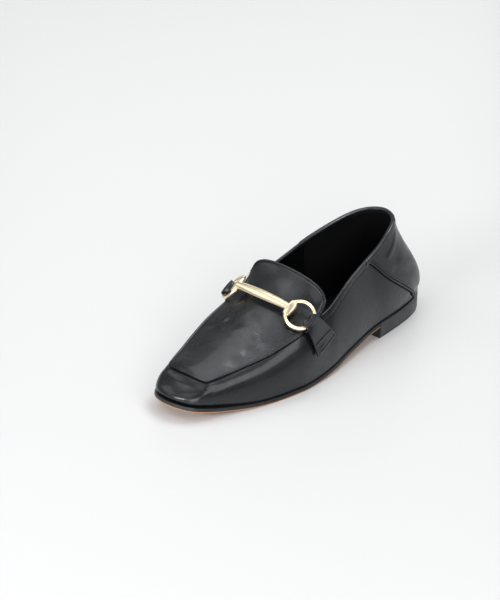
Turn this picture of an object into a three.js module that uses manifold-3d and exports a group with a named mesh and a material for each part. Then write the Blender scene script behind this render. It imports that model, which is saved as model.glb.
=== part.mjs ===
// A woman's bit loafer for the left foot, in millimetres: +X to the toe, +Y to the outer side, +Z up.
// The wall of the upper is lofted between two closed lines that share one table of stations: the
// foot line, which stands on the sole, and the edge line, which is the apron seam in front and the
// topline behind. The crown spans the apron seam, and the apron and its tongue lie on the crown.
import * as THREE from 'three';
import { mergeVertices } from 'three/addons/utils/BufferGeometryUtils.js';
import Module from 'manifold-3d';

const wasm = await Module();
wasm.setup();

// Last and sole
const SOLE_LENGTH = 256;
const BALL_WIDTH = 80;
const BACK_RISE = 68.6; // top of the back above the sole
const SOLE_THICKNESS = 3.2;
const SOLE_EDGE_ROUND = 0.7;
const HEEL_HEIGHT = 9; // block under the outsole
const HEEL_BREAST = 65; // from the back of the sole to the front of the block
const HEEL_TAPER = 0.4; // how far the block draws in at the floor
const TOE_SPRING = 9;
const TREAD_BACK = 161; // the sole lies flat on the floor from here
const TREAD_FRONT = 186; // to here

// Upper
const WALL = 1.6;
const LEDGE = 1.1; // outsole beyond the foot line
const GAP = 0.3; // between pieces that meet
const FACET_GAP = 0.4; // the same where both faces are curved
const THROAT_CUT = 14; // how far the throat reaches forward under the tongue

// Apron and tongue
const APRON_THICKNESS = 1.2;
const APRON_INSET = 0.5;
const TONGUE_LENGTH = 9.3; // beyond the end of the apron seam
// What the tongue's sides do for each millimetre back
const TONGUE_SIDES = {
  outer: { rise: 1.2, flare: 0.1 },
  inner: { rise: 1.4, flare: 0.35 },
};
const TONGUE_CORNER = 5; // exponent of the rounded end

// Heel seam band
const BAND_WIDTH = 2;
const BAND_THICKNESS = 0.8;

// Insole
const INSOLE_THICKNESS = 2;

// Bit
const BIT_ALONG = 155.4;
const BIT_ACROSS = -0.0275 * BALL_WIDTH;
const BIT_LIFT = 5.4; // middle of the bar above the apron
const BIT_PITCH = 31; // degrees, follows the instep
const BAR_LENGTH = 0.5875 * BALL_WIDTH;
const BAR_WIDTH = 7.2;
const BAR_THICKNESS = 2.6;
const BAR_TAPER = 2; // narrower by this at the ends
const BAR_SAG = 1.3; // the ends lie below the middle
const PLATE_LENGTH = 11.6;
const PLATE_WIDTH = 6.4;
const PLATE_THICKNESS = 4.8;
const PLATE_SHIFT = 2; // the plate's middle lies inside the ring
const BAR_OVER = 1.2; // the bar runs above the wire, on to the plate
const RING_RADIUS = 10.3; // to the middle of the wire
const RING_WIRE = 1.3; // radius of the wire
const RING_BORE_GAP = 0.3;
const RING_DROP_OUTER = 25.5; // degrees down from the bar
const RING_DROP_INNER = 38;

// Straps
const STRAP_THICKNESS = 1.5;
const STRAP_RING_WIDTH = 12.5; // round the wire
const SLEEVE_WALL = 0.8;
const STRAP_SPRING = 1.2; // how far the strap bows out between the wall and its ring

const BLACK = { color: 0x1b1c1e, roughness: 0.45, metalness: 0 };
const FINISHES = {
  upper: BLACK,
  apron_tongue: BLACK,
  insole: { color: 0x151516, roughness: 0.7, metalness: 0 },
  outsole: { color: 0xb0805a, roughness: 0.6, metalness: 0 },
  heel: { color: 0x202124, roughness: 0.5, metalness: 0 },
  gold: { color: 0xe2c08a, roughness: 0.2, metalness: 1 },
};

// Stations go round the shoe from the toe, by the outer side, the back and the inner side. Along is
// a share of SOLE_LENGTH, across of BALL_WIDTH and rise of BACK_RISE. Flare and lean are degrees:
// how far the wall leans out at its foot and in at its edge.
const station = (soleAlong, soleAcross, edgeAlong, edgeAcross, edgeRise, flare, lean) => ({
  soleAlong, soleAcross, edgeAlong, edgeAcross, edgeRise, flare, lean,
});
const STATIONS = [
  station(1.0, 0.006, 0.927, 0.025, 0.251, 14, 62), // toe
  station(0.992, 0.144, 0.925, 0.138, 0.246, 14, 62),
  station(0.971, 0.248, 0.917, 0.232, 0.242, 12, 60), // outer corner of the apron
  station(0.936, 0.315, 0.891, 0.266, 0.268, 10, 56),
  station(0.887, 0.375, 0.848, 0.313, 0.315, 8, 52),
  station(0.8125, 0.46, 0.789, 0.366, 0.372, 6, 50),
  station(0.73, 0.529, 0.721, 0.425, 0.431, 5, 48),
  station(0.645, 0.565, 0.641, 0.47, 0.516, 5, 42),
  station(0.582, 0.564, 0.586, 0.474, 0.56, 5, 36),
  station(0.526, 0.548, 0.534, 0.43, 0.59, 5, 30), // outer end of the throat
  station(0.486, 0.53, 0.494, 0.422, 0.612, 5, 24),
  station(0.445, 0.5, 0.453, 0.398, 0.649, 5, 20),
  station(0.383, 0.463, 0.395, 0.358, 0.705, 6, 16),
  station(0.32, 0.423, 0.336, 0.315, 0.736, 7, 14),
  station(0.258, 0.391, 0.283, 0.283, 0.767, 8, 13),
  station(0.203, 0.37, 0.23, 0.265, 0.84, 11, 12),
  station(0.145, 0.343, 0.182, 0.233, 0.927, 13, 12),
  station(0.08, 0.3, 0.141, 0.181, 0.974, 16, 13),
  station(0.022, 0.212, 0.111, 0.094, 0.993, 20, 15),
  station(0.0, 0.035, 0.096, -0.038, 1.0, 22, 15), // back
  station(0.022, -0.142, 0.107, -0.156, 0.988, 20, 15),
  station(0.08, -0.232, 0.139, -0.228, 0.974, 15, 13),
  station(0.143, -0.28, 0.18, -0.273, 0.948, 12, 10),
  station(0.199, -0.306, 0.227, -0.3, 0.913, 10, 10),
  station(0.258, -0.323, 0.279, -0.328, 0.865, 9, 9),
  station(0.32, -0.335, 0.33, -0.36, 0.813, 9, 9),
  station(0.383, -0.35, 0.387, -0.4, 0.738, 9, 10),
  station(0.445, -0.369, 0.445, -0.425, 0.684, 8, 14),
  station(0.492, -0.386, 0.492, -0.43, 0.643, 8, 18),
  station(0.534, -0.402, 0.534, -0.428, 0.612, 8, 24), // inner end of the throat
  station(0.584, -0.419, 0.588, -0.424, 0.58, 7, 32),
  station(0.645, -0.433, 0.645, -0.415, 0.536, 6, 38),
  station(0.719, -0.425, 0.719, -0.388, 0.472, 6, 45),
  station(0.793, -0.381, 0.787, -0.343, 0.393, 6, 50),
  station(0.863, -0.325, 0.85, -0.283, 0.317, 8, 54),
  station(0.922, -0.288, 0.895, -0.233, 0.268, 10, 58),
  station(0.965, -0.231, 0.923, -0.183, 0.243, 12, 60), // inner corner of the apron
  station(0.991, -0.131, 0.927, -0.088, 0.247, 14, 62),
];
const ROUND = STATIONS.length;
const OUTER_CORNER = 2;
const INNER_CORNER = ROUND - 2;
const OUTER_THROAT = 9;
const INNER_THROAT = 29;
const OUTER_SIDE = 14; // outer top of the heel seam
const INNER_SIDE = 25;

// Height of the crown above the line between the two sides of the apron seam, as a share of
// BACK_RISE. At runs from 0 at the apron's front to 1 at the throat, and on over the tongue.
const CROWN = [
  { at: 0, rise: 0 },
  { at: 0.12, rise: 0.036 },
  { at: 0.3, rise: 0.056 },
  { at: 0.48, rise: 0.073 },
  { at: 0.64, rise: 0.088 },
  { at: 0.8, rise: 0.136 },
  { at: 0.92, rise: 0.186 },
  { at: 1, rise: 0.208 },
  { at: 1.1, rise: 0.115 },
];
// The arch is a power of a parabola, and full and drawn to the inner side towards the tongue.
const ARCH_POWER_FRONT = 1.2;
const ARCH_POWER_BACK = 0.6;
const ARCH_SKEW_BACK = 0.85;

// Mesh densities
const FRONT_STEPS = 12;
const SIDE_STEPS = 20;
const BACK_STEPS = 44;
const WALL_STEPS = 8;

const vec = (x, y, z) => new THREE.Vector3(x, y, z);
const radians = THREE.MathUtils.degToRad;
const lerp = THREE.MathUtils.lerp;
const smooth = (t) => THREE.MathUtils.smoothstep(t, 0, 1);

// Catmull-Rom value of one column of STATIONS at a place round the shoe.
function round(column, place) {
  const from = Math.floor(place);
  const t = place - from;
  const [a, b, c, d] = [-1, 0, 1, 2].map((k) => STATIONS[(from + k + 2 * ROUND) % ROUND][column]);
  const bend = 2 * a - 5 * b + 4 * c - d;
  return b + 0.5 * t * (c - a + t * (bend + t * (3 * (b - c) + d - a)));
}

// Value of a table of {at, rise} rows, smooth between its rows.
function alongTable(rows, at) {
  const last = rows.length - 1;
  let k = 0;
  while (k < last - 1 && at > rows[k + 1].at) k += 1;
  const slope = (i) => {
    const [low, high] = [rows[Math.max(0, i - 1)], rows[Math.min(last, i + 1)]];
    return (high.rise - low.rise) / (high.at - low.at);
  };
  const span = rows[k + 1].at - rows[k].at;
  const t = (at - rows[k].at) / span;
  const [s, e] = [rows[k].rise, rows[k + 1].rise];
  return s * (1 + 2 * t) * (1 - t) ** 2 + e * t * t * (3 - 2 * t)
    + span * t * (1 - t) * (slope(k) * (1 - t) - slope(k + 1) * t);
}

// Underside of the sole above the floor.
function soleBottom(along) {
  if (along > TREAD_FRONT) {
    return TOE_SPRING * ((along - TREAD_FRONT) / (SOLE_LENGTH - TREAD_FRONT)) ** 2;
  }
  return HEEL_HEIGHT * smooth((TREAD_BACK - along) / (TREAD_BACK - HEEL_BREAST));
}
const soleTop = (along) => soleBottom(along) + SOLE_THICKNESS;

// Sole outline at a place, drawn in by an inset, with the outward direction in plan.
function outline(place, inset = 0) {
  const at = (p) => [round('soleAlong', p) * SOLE_LENGTH, round('soleAcross', p) * BALL_WIDTH];
  const step = 0.01;
  const [[x0, y0], [x1, y1]] = [at(place - step), at(place + step)];
  const length = Math.hypot(x1 - x0, y1 - y0);
  const out = vec((y0 - y1) / -length, (x0 - x1) / length, 0).normalize();
  const [x, y] = at(place);
  return { point: vec(x, y, 0).addScaledVector(out, -inset), out };
}

// Foot, edge and directions of the wall at a place.
function section(place) {
  const { point: foot, out } = outline(place, LEDGE);
  foot.z = soleTop(foot.x) + GAP;
  const edge = vec(round('edgeAlong', place) * SOLE_LENGTH, round('edgeAcross', place) * BALL_WIDTH, 0);
  edge.z = soleTop(edge.x) + round('edgeRise', place) * BACK_RISE;
  return { foot, edge, out, flare: radians(round('flare', place)), lean: radians(round('lean', place)) };
}

// The wall is a Bezier curve from foot to edge.
const FOOT_PULL = 0.36;
const EDGE_PULL = 0.4;
function wallAt(place, up) {
  const { foot, edge, out, flare, lean } = section(place);
  const reach = foot.distanceTo(edge);
  const low = foot.clone()
    .addScaledVector(out, Math.sin(flare) * FOOT_PULL * reach)
    .add(vec(0, 0, Math.cos(flare) * FOOT_PULL * reach));
  const high = edge.clone()
    .addScaledVector(out, Math.sin(lean) * EDGE_PULL * reach)
    .add(vec(0, 0, -Math.cos(lean) * EDGE_PULL * reach));
  const down = 1 - up;
  return foot.multiplyScalar(down ** 3)
    .addScaledVector(low, 3 * down * down * up)
    .addScaledVector(high, 3 * down * up * up)
    .addScaledVector(edge, up ** 3);
}

// A side of the apron seam. Past the throat it runs on as the side of the tongue.
function seam(side, at) {
  const [corner, throat] = side > 0 ? [OUTER_CORNER, OUTER_THROAT] : [INNER_CORNER, INNER_THROAT];
  const point = section(lerp(corner, throat, Math.min(at, 1))).edge;
  if (at > 1) {
    const back = (at - 1) * SEAM_LENGTH;
    const { rise, flare } = side > 0 ? TONGUE_SIDES.outer : TONGUE_SIDES.inner;
    point.add(vec(-1, side * flare, rise).multiplyScalar(back));
  }
  return point;
}
const SEAM_LENGTH = section(OUTER_CORNER).edge.x - section(OUTER_THROAT).edge.x;

// Shares across the crown crowd towards its sides, where it turns most.
const spaced = (share) => 0.5 - 0.5 * Math.cos(Math.PI * share);

// The crown at a share of the apron's length, and across from the inner seam (0) to the outer (1).
function crownAt(at, across) {
  const [inner, outer] = [seam(-1, at), seam(1, at)];
  const point = inner.lerp(outer, across);
  const front = section(lerp(INNER_CORNER - ROUND, OUTER_CORNER, across)).edge;
  const straight = seam(-1, 0).lerp(seam(1, 0), across);
  point.addScaledVector(front.sub(straight), Math.max(0, 1 - at) ** 3);
  const back = Math.min(at, 1) ** 6;
  const skewed = across ** lerp(1, ARCH_SKEW_BACK, back);
  const arch = (4 * skewed * (1 - skewed)) ** lerp(ARCH_POWER_FRONT, ARCH_POWER_BACK, back);
  point.z += alongTable(CROWN, at) * BACK_RISE * arch;
  return point;
}

// A surface point moved along the outward normal.
function lifted(surface, a, b, lift, low = [-Infinity, 0], high = [Infinity, 1]) {
  const step = 0.004;
  const clamp = THREE.MathUtils.clamp;
  const ends = [[a - step, a + step], [b - step, b + step]]
    .map((pair, k) => pair.map((value) => clamp(value, low[k], high[k])));
  const alongA = surface(ends[0][1], b).sub(surface(ends[0][0], b));
  const alongB = surface(a, ends[1][1]).sub(surface(a, ends[1][0]));
  const normal = alongA.cross(alongB).normalize();
  return { point: surface(a, b).addScaledVector(normal, lift), normal };
}
const onWall = (place, up, lift) => lifted(wallAt, place, up, lift);
// Near the seams the arch turns sharply, so the crown's normal is taken a little way in.
const CROWN_RIM = 0.03;
function onCrown(at, across, lift) {
  const inside = THREE.MathUtils.clamp(across, CROWN_RIM, 1 - CROWN_RIM);
  const { normal } = lifted((a, b) => crownAt(b, a), inside, Math.max(at, 0.01), 0, [0, 0], [1, 2]);
  return { point: crownAt(at, across).addScaledVector(normal, lift), normal };
}

// Collects shared corners and quads, and turns them into a closed mesh that faces out.
class Shell {
  corners = [];
  triangles = [];

  add(point) {
    return this.corners.push(point.x, point.y, point.z) / 3 - 1;
  }

  quad(a, b, c, d) {
    this.triangles.push(a, b, c, a, c, d);
  }

  // Joins two rows of corners, one quad for each step.
  strip(low, high) {
    for (let k = 0; k + 1 < low.length; k += 1) this.quad(low[k], low[k + 1], high[k + 1], high[k]);
  }

  geometry() {
    const at = (i) => vec(...this.corners.slice(3 * i, 3 * i + 3));
    let volume = 0;
    for (let k = 0; k < this.triangles.length; k += 3) {
      const [a, b, c] = this.triangles.slice(k, k + 3).map(at);
      volume += a.dot(b.cross(c));
    }
    if (volume < 0) this.triangles.reverse();
    const geometry = new THREE.BufferGeometry();
    geometry.setAttribute('position', new THREE.Float32BufferAttribute(this.corners, 3));
    geometry.setIndex(this.triangles);
    return geometry;
  }
}

// A sheet with a lower and an upper face over a grid, closed along its four sides.
function sheet(rows, columns, pointAt) {
  const shell = new Shell();
  const [lower, upper] = [0, 1].map((face) => Array.from({ length: rows + 1 }, (_, i) => (
    Array.from({ length: columns + 1 }, (__, j) => shell.add(pointAt(i / rows, j / columns, face)))
  )));
  for (let i = 0; i < rows; i += 1) {
    shell.strip(upper[i], upper[i + 1]);
    shell.strip(lower[i + 1], lower[i]);
  }
  const rim = (grid) => [
    ...grid[0],
    ...grid.slice(1).map((row) => row[columns]),
    ...grid[rows].slice(0, -1).reverse(),
    ...grid.slice(0, -1).map((row) => row[0]).reverse(),
  ];
  shell.strip(rim(lower), rim(upper));
  return shell.geometry();
}

// A solid between a lower and an upper ring of corners, each closed by a fan of cross strips.
function slab(count, pointAt, levels) {
  const shell = new Shell();
  const rings = levels.map((level) => (
    Array.from({ length: 2 * count }, (_, k) => shell.add(pointAt(k / (2 * count) * ROUND, level)))
  ));
  for (let k = 0; k + 1 < rings.length; k += 1) {
    shell.strip([...rings[k], rings[k][0]], [...rings[k + 1], rings[k + 1][0]]);
  }
  const cap = (ring, flip) => {
    for (let k = 0; k < count; k += 1) {
      const [a, b, c, d] = [k, k + 1, (2 * count - k - 1), (2 * count - k) % (2 * count)].map((i) => ring[i]);
      const corners = [...new Set([a, b, c, d])];
      if (corners.length < 3) continue;
      if (flip) corners.reverse();
      if (corners.length === 3) shell.triangles.push(...corners);
      else shell.quad(...corners);
    }
  };
  cap(rings[0], true);
  cap(rings[rings.length - 1], false);
  return shell.geometry();
}

// A solid through rings of corners, closed flat at both ends.
function loft(rings) {
  const shell = new Shell();
  const corners = rings.map((ring) => ring.map((point) => shell.add(point)));
  const last = corners.length - 1;
  for (let i = 0; i < last; i += 1) {
    shell.strip([...corners[i], corners[i][0]], [...corners[i + 1], corners[i + 1][0]]);
  }
  [corners[0], [...corners[last]].reverse()].forEach((ends) => {
    for (let k = 1; k + 1 < ends.length; k += 1) shell.triangles.push(ends[0], ends[k + 1], ends[k]);
  });
  return shell.geometry();
}

// Solids for cutting and joining
function solidOf(geometry) {
  const bare = geometry.clone();
  bare.deleteAttribute('normal');
  bare.deleteAttribute('uv');
  const merged = mergeVertices(bare, 1e-4);
  return new wasm.Manifold(new wasm.Mesh({
    numProp: 3,
    vertProperties: new Float32Array(merged.attributes.position.array),
    triVerts: new Uint32Array(merged.index.array),
  }));
}

function geometryOf(solid) {
  const mesh = solid.getMesh();
  const geometry = new THREE.BufferGeometry();
  geometry.setAttribute('position', new THREE.Float32BufferAttribute(mesh.vertProperties, mesh.numProp));
  geometry.setIndex(new THREE.Uint32BufferAttribute(mesh.triVerts, 1));
  return geometry;
}

// The outsole follows the tread, spring and arch, with its lower edge rounded.
function outsole() {
  const levels = [
    { inset: SOLE_EDGE_ROUND, up: 0 },
    { inset: 0, up: SOLE_EDGE_ROUND },
    { inset: 0, up: SOLE_THICKNESS },
  ];
  return slab(52, (place, { inset, up }) => {
    const { point } = outline(place, inset);
    point.z = soleBottom(point.x) + up;
    return point;
  }, levels);
}

// The heel block takes the back of the sole's outline and ends at the breast.
function heel() {
  const levels = [
    { inset: HEEL_TAPER, height: 0 },
    { inset: 0, height: HEEL_HEIGHT - GAP },
  ];
  const block = slab(52, (place, { inset, height }) => {
    const { point } = outline(place, inset);
    point.z = height;
    return point;
  }, levels);
  const ahead = new THREE.BoxGeometry(SOLE_LENGTH, 2 * BALL_WIDTH, 4 * HEEL_HEIGHT);
  ahead.translate(HEEL_BREAST + SOLE_LENGTH / 2, 0, 0);
  return geometryOf(solidOf(block).subtract(solidOf(ahead)));
}

function insole() {
  const clear = LEDGE + WALL + 2 * GAP;
  const levels = [{ up: GAP }, { up: GAP + INSOLE_THICKNESS }];
  return slab(40, (place, { up }) => {
    const { point } = outline(place, clear + 1);
    point.z = soleTop(point.x) + up;
    return point;
  }, levels);
}

// The upper is one wall: up from the foot line, over the crown, open at the throat and collar.
function upper() {
  const shell = new Shell();
  const places = [];
  const spread = (from, to, steps) => {
    for (let k = 0; k < steps; k += 1) places.push(lerp(from, to, k / steps));
  };
  for (let k = 0; k < FRONT_STEPS; k += 1) {
    places.push(lerp(INNER_CORNER - ROUND, OUTER_CORNER, spaced(k / FRONT_STEPS)));
  }
  spread(OUTER_CORNER, OUTER_THROAT, SIDE_STEPS);
  spread(OUTER_THROAT, INNER_THROAT, BACK_STEPS);
  spread(INNER_THROAT, INNER_CORNER, SIDE_STEPS);
  const outerThroat = FRONT_STEPS + SIDE_STEPS;
  const innerThroat = outerThroat + BACK_STEPS;
  const count = places.length;
  const wrap = (k) => (k + count) % count;

  // How much of the apron's length lies under the crown at a distance across.
  const reach = (across) => 1 - (THROAT_CUT / SEAM_LENGTH) * 4 * across * (1 - across);
  const crownPoint = (i, j, lift) => {
    const across = spaced(j / FRONT_STEPS);
    return onCrown((i / SIDE_STEPS) * reach(across), across, lift);
  };
  // Crown grid position of an edge corner: null where the edge is the topline.
  const gridOf = (k) => {
    if (k <= FRONT_STEPS) return [0, k];
    if (k <= outerThroat) return [k - FRONT_STEPS, FRONT_STEPS];
    if (k < innerThroat) return null;
    return [count - k, 0];
  };

  const faces = [0, 1].map((face) => {
    const lift = face ? -WALL : 0;
    const wall = places.map((place, k) => Array.from({ length: WALL_STEPS + 1 }, (_, row) => {
      const { point, normal } = onWall(place, row / WALL_STEPS, lift);
      const grid = row === WALL_STEPS && gridOf(k);
      if (grid && face) {
        const over = crownPoint(...grid, 0).normal;
        const between = normal.clone().add(over).normalize();
        return shell.add(wallAt(place, 1).addScaledVector(between, lift / Math.max(0.5, between.dot(normal))));
      }
      return shell.add(point);
    }));
    const crown = Array.from({ length: SIDE_STEPS + 1 }, (_, i) => (
      Array.from({ length: FRONT_STEPS + 1 }, (__, j) => {
        if (i === 0) return wall[j][WALL_STEPS];
        if (j === FRONT_STEPS) return wall[FRONT_STEPS + i][WALL_STEPS];
        if (j === 0) return wall[wrap(count - i)][WALL_STEPS];
        return shell.add(crownPoint(i, j, lift).point);
      })
    ));
    return { wall, crown };
  });

  faces.forEach(({ wall, crown }, face) => {
    const order = (row) => (face ? [...row].reverse() : row);
    for (let k = 0; k < count; k += 1) shell.strip(order(wall[k]), order(wall[wrap(k + 1)]));
    for (let i = 0; i < SIDE_STEPS; i += 1) shell.strip(order(crown[i + 1]), order(crown[i]));
  });
  const rim = ({ wall, crown }) => [
    ...crown[SIDE_STEPS],
    ...wall.slice(outerThroat + 1, innerThroat).map((column) => column[WALL_STEPS]),
    crown[SIDE_STEPS][0],
  ];
  shell.strip(rim(faces[1]), rim(faces[0]));
  const base = ({ wall }) => [...wall, wall[0]].map((column) => column[0]);
  shell.strip(base(faces[0]), base(faces[1]));
  return shell.geometry();
}

// The apron and tongue are one sheet on the crown, with the tongue's corners rounded off.
function apronTongue() {
  const inset = APRON_INSET / BALL_WIDTH;
  const tongue = TONGUE_LENGTH / SEAM_LENGTH;
  return sheet(24, 16, (along, share, face) => {
    const across = lerp(inset, 1 - inset, spaced(share));
    const rounded = (1 - Math.abs(2 * spaced(share) - 1) ** TONGUE_CORNER) ** (1 / TONGUE_CORNER);
    const end = 1 + tongue * rounded;
    const at = lerp(APRON_INSET / SEAM_LENGTH, end, along);
    return onCrown(at, across, FACET_GAP + face * APRON_THICKNESS).point;
  });
}

// The raised seam between quarter and heel piece, as {place, up} rows from the collar to the sole.
// Place counts stations from the side point towards the back.
const HEEL_SEAM = [
  { place: 0.05, up: 1 },
  { place: 0.15, up: 0.83 },
  { place: 0.65, up: 0.62 },
  { place: 1.27, up: 0.43 },
  { place: 2.25, up: 0.26 },
  { place: 2.97, up: 0.11 },
  { place: 3.27, up: 0.03 },
];
function heelSeamBand(side) {
  const [start, turn] = side > 0 ? [OUTER_SIDE, 1] : [INNER_SIDE, -1];
  const curve = new THREE.CatmullRomCurve3(
    HEEL_SEAM.map(({ place, up }) => vec(start + turn * place, up, 0)),
  );
  const at = (share) => {
    const { x, y } = curve.getPoint(share);
    return { place: x, up: THREE.MathUtils.clamp(y, 0, 1) };
  };
  return sheet(36, 2, (along, across, face) => {
    const here = at(along);
    const { point, normal } = onWall(here.place, here.up, FACET_GAP + face * BAND_THICKNESS);
    const [before, after] = [at(Math.max(0, along - 0.01)), at(Math.min(1, along + 0.01))];
    const run = wallAt(after.place, after.up).sub(wallAt(before.place, before.up)).normalize();
    return point.addScaledVector(run.cross(normal).normalize(), (across - 0.5) * BAND_WIDTH);
  });
}

// The bit's own frame: x to the toe along the instep, y along the bar, z off the instep.
const bitFrame = new THREE.Matrix4();
function placeBit() {
  const at = (SEAM_LENGTH + section(OUTER_THROAT).edge.x - BIT_ALONG) / SEAM_LENGTH;
  const { point } = onCrown(at, 0.5, FACET_GAP + APRON_THICKNESS + BIT_LIFT);
  bitFrame.makeRotationY(radians(BIT_PITCH));
  bitFrame.setPosition(point.x, BIT_ACROSS, point.z);
}
placeBit();

// The frame of a ring: its middle is the ring's, x as the bit's, y out to the strap.
function ringFrame(side) {
  const drop = radians(side > 0 ? RING_DROP_OUTER : RING_DROP_INNER);
  const hinge = new THREE.Matrix4().makeRotationX(-side * drop);
  hinge.setPosition(0, side * BAR_LENGTH / 2, -BAR_SAG - BAR_OVER);
  const reach = new THREE.Matrix4().makeTranslation(0, side * RING_RADIUS, 0);
  return bitFrame.clone().multiply(hinge).multiply(reach);
}

function ring(side) {
  return new THREE.TorusGeometry(RING_RADIUS, RING_WIRE, 8, 32).applyMatrix4(ringFrame(side));
}

// The bar is a rounded strip, fullest in its middle, carrying a barrel-shaped plate at each ring.
function bit() {
  const profile = (width) => {
    const shape = new THREE.Shape();
    shape.absellipse(0, 0, width / 2, BAR_THICKNESS / 2, 0, 2 * Math.PI);
    return shape.getPoints(5);
  };
  const rows = 12;
  const bars = Array.from({ length: rows + 1 }, (_, i) => {
    const share = 2 * i / rows - 1;
    const width = BAR_WIDTH - BAR_TAPER * share * share;
    const sag = BAR_SAG * share * share;
    const along = share * (BAR_LENGTH / 2 + BAR_OVER);
    return profile(width).slice(0, -1).map(({ x, y }) => vec(x, along, y - sag));
  });
  let solid = solidOf(loft(bars).applyMatrix4(bitFrame));
  [1, -1].forEach((side) => {
    const frame = ringFrame(side);
    const barrel = new THREE.Shape();
    const [half, bow] = [PLATE_LENGTH / 2, PLATE_WIDTH / 2];
    barrel.moveTo(-half, -0.6 * bow);
    barrel.quadraticCurveTo(0, -1.4 * bow, half, -0.6 * bow);
    barrel.lineTo(half, 0.6 * bow);
    barrel.quadraticCurveTo(0, 1.4 * bow, -half, 0.6 * bow);
    const plate = new THREE.ExtrudeGeometry(barrel, {
      depth: PLATE_THICKNESS - 1.2, bevelThickness: 0.6, bevelSize: 0.5, bevelSegments: 2, curveSegments: 6,
    });
    plate.translate(0, side * (PLATE_SHIFT - RING_RADIUS), 0.6 - PLATE_THICKNESS / 2);
    const bore = new THREE.TorusGeometry(RING_RADIUS, RING_WIRE + RING_BORE_GAP, 8, 32);
    solid = solid.add(solidOf(plate.applyMatrix4(frame)));
    solid = solid.subtract(solidOf(bore.applyMatrix4(frame)));
  });
  return geometryOf(solid);
}

// A sheet of even thickness about a grid of points, closed along its four sides.
function thickened(grid, thickness) {
  const [rows, columns] = [grid.length - 1, grid[0].length - 1];
  const at = (i, j) => grid[THREE.MathUtils.clamp(i, 0, rows)][THREE.MathUtils.clamp(j, 0, columns)];
  return sheet(rows, columns, (along, across, face) => {
    const [i, j] = [Math.round(along * rows), Math.round(across * columns)];
    const down = at(i + 1, j).clone().sub(at(i - 1, j));
    const over = at(i, j + 1).clone().sub(at(i, j - 1));
    return at(i, j).clone().addScaledVector(down.cross(over).normalize(), (face - 0.5) * thickness);
  });
}

// Where each strap lies on the wall, as {place, up}: the front and back corners of its sewn end,
// and the points by the apron seam where it leaves the wall for the ring.
const STRAPS = {
  outer: {
    side: 1,
    end: [{ place: 7.75, up: 0.535 }, { place: 9.65, up: 0.59 }],
    leave: [{ place: 7.55, up: 0.86 }, { place: 9.2, up: 0.86 }],
  },
  inner: {
    side: -1,
    end: [{ place: 29.9, up: 0.5 }, { place: 28.2, up: 0.56 }],
    leave: [{ place: 30.3, up: 0.84 }, { place: 29.2, up: 0.85 }],
  },
};

// A strap is sewn down on the wall and holds its ring in a sleeve.
function strap({ side, end, leave }) {
  const frame = ringFrame(side);
  const lift = FACET_GAP + STRAP_THICKNESS / 2;
  const mixed = (pair, share, key) => lerp(pair[0][key], pair[1][key], share);
  const wallPoint = (along, share) => {
    const place = lerp(mixed(end, share, 'place'), mixed(leave, share, 'place'), along);
    return onWall(place, lerp(mixed(end, share, 'up'), mixed(leave, share, 'up'), along), lift).point;
  };
  const half = STRAP_RING_WIDTH / RING_RADIUS / 2;
  const ringPoint = (share, reach) => {
    const turn = lerp(half, -half, share);
    return vec(Math.sin(turn) * reach, side * Math.cos(turn) * reach, 0).applyMatrix4(frame);
  };
  const [rows, columns, bridge] = [5, 6, 6];
  const grid = Array.from({ length: rows + bridge + 1 }, (_, i) => (
    Array.from({ length: columns + 1 }, (__, j) => {
      const share = j / columns;
      if (i <= rows) return wallPoint(i / rows, share);
      const [start, stop] = [wallPoint(1, share), ringPoint(share, RING_RADIUS)];
      const pull = start.distanceTo(stop) / 3;
      const up = start.clone().sub(wallPoint(0.9, share)).normalize();
      up.addScaledVector(ringPoint(share, 1).sub(ringPoint(share, 0)), STRAP_SPRING);
      const out = ringPoint(share, RING_RADIUS + 1).sub(stop);
      const curve = new THREE.CubicBezierCurve3(
        start,
        start.clone().addScaledVector(up, pull),
        stop.clone().addScaledVector(out, pull),
        stop,
      );
      return curve.getPoint((i - rows) / bridge);
    })
  ));
  const band = thickened(grid, STRAP_THICKNESS);
  const tube = (radius, spread, steps) => {
    const rings = Array.from({ length: steps + 1 }, (_, i) => {
      const turn = lerp(spread, -spread, i / steps);
      return Array.from({ length: 10 }, (__, k) => {
        const bend = (k / 10) * 2 * Math.PI;
        const reach = RING_RADIUS + radius * Math.cos(bend);
        const point = vec(Math.sin(turn) * reach, side * Math.cos(turn) * reach, radius * Math.sin(bend));
        return point.applyMatrix4(frame);
      });
    });
    return loft(rings);
  };
  const radius = RING_WIRE + RING_BORE_GAP;
  const solid = solidOf(band).add(solidOf(tube(radius + SLEEVE_WALL, half, 6)));
  return geometryOf(solid.subtract(solidOf(tube(radius, 1.6 * half, 10))));
}

function named(name, geometry, finish) {
  const mesh = new THREE.Mesh(geometry, new THREE.MeshStandardMaterial(FINISHES[finish]));
  mesh.name = name;
  return mesh;
}

const shoe = new THREE.Group();
shoe.add(
  named('outsole', outsole(), 'outsole'),
  named('heel', heel(), 'heel'),
  named('insole', insole(), 'insole'),
  named('upper', upper(), 'upper'),
  named('apron_tongue', apronTongue(), 'apron_tongue'),
  named('heel_seam_outer', heelSeamBand(1), 'upper'),
  named('heel_seam_inner', heelSeamBand(-1), 'upper'),
  named('bit', bit(), 'gold'),
  named('ring_outer', ring(1), 'gold'),
  named('ring_inner', ring(-1), 'gold'),
  named('strap_outer', strap(STRAPS.outer), 'upper'),
  named('strap_inner', strap(STRAPS.inner), 'upper'),
);

// The origin is on the floor under the middle of the shoe.
const bounds = new THREE.Box3().setFromObject(shoe);
const middle = bounds.getCenter(new THREE.Vector3());
shoe.position.set(-middle.x, -middle.y, -bounds.min.z);

export default shoe;
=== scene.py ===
"""A black leather bit loafer for the left foot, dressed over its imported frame.

The surfaces repeat the shoe's own shape: the wall of the upper round the sole, and the crown
under the apron. Lengths in the tables are millimetres in the shoe's frame, toe to +X and outer
side to +Y. Pieces are laid on those surfaces and then put in the frame's metres.
"""

import math

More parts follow.
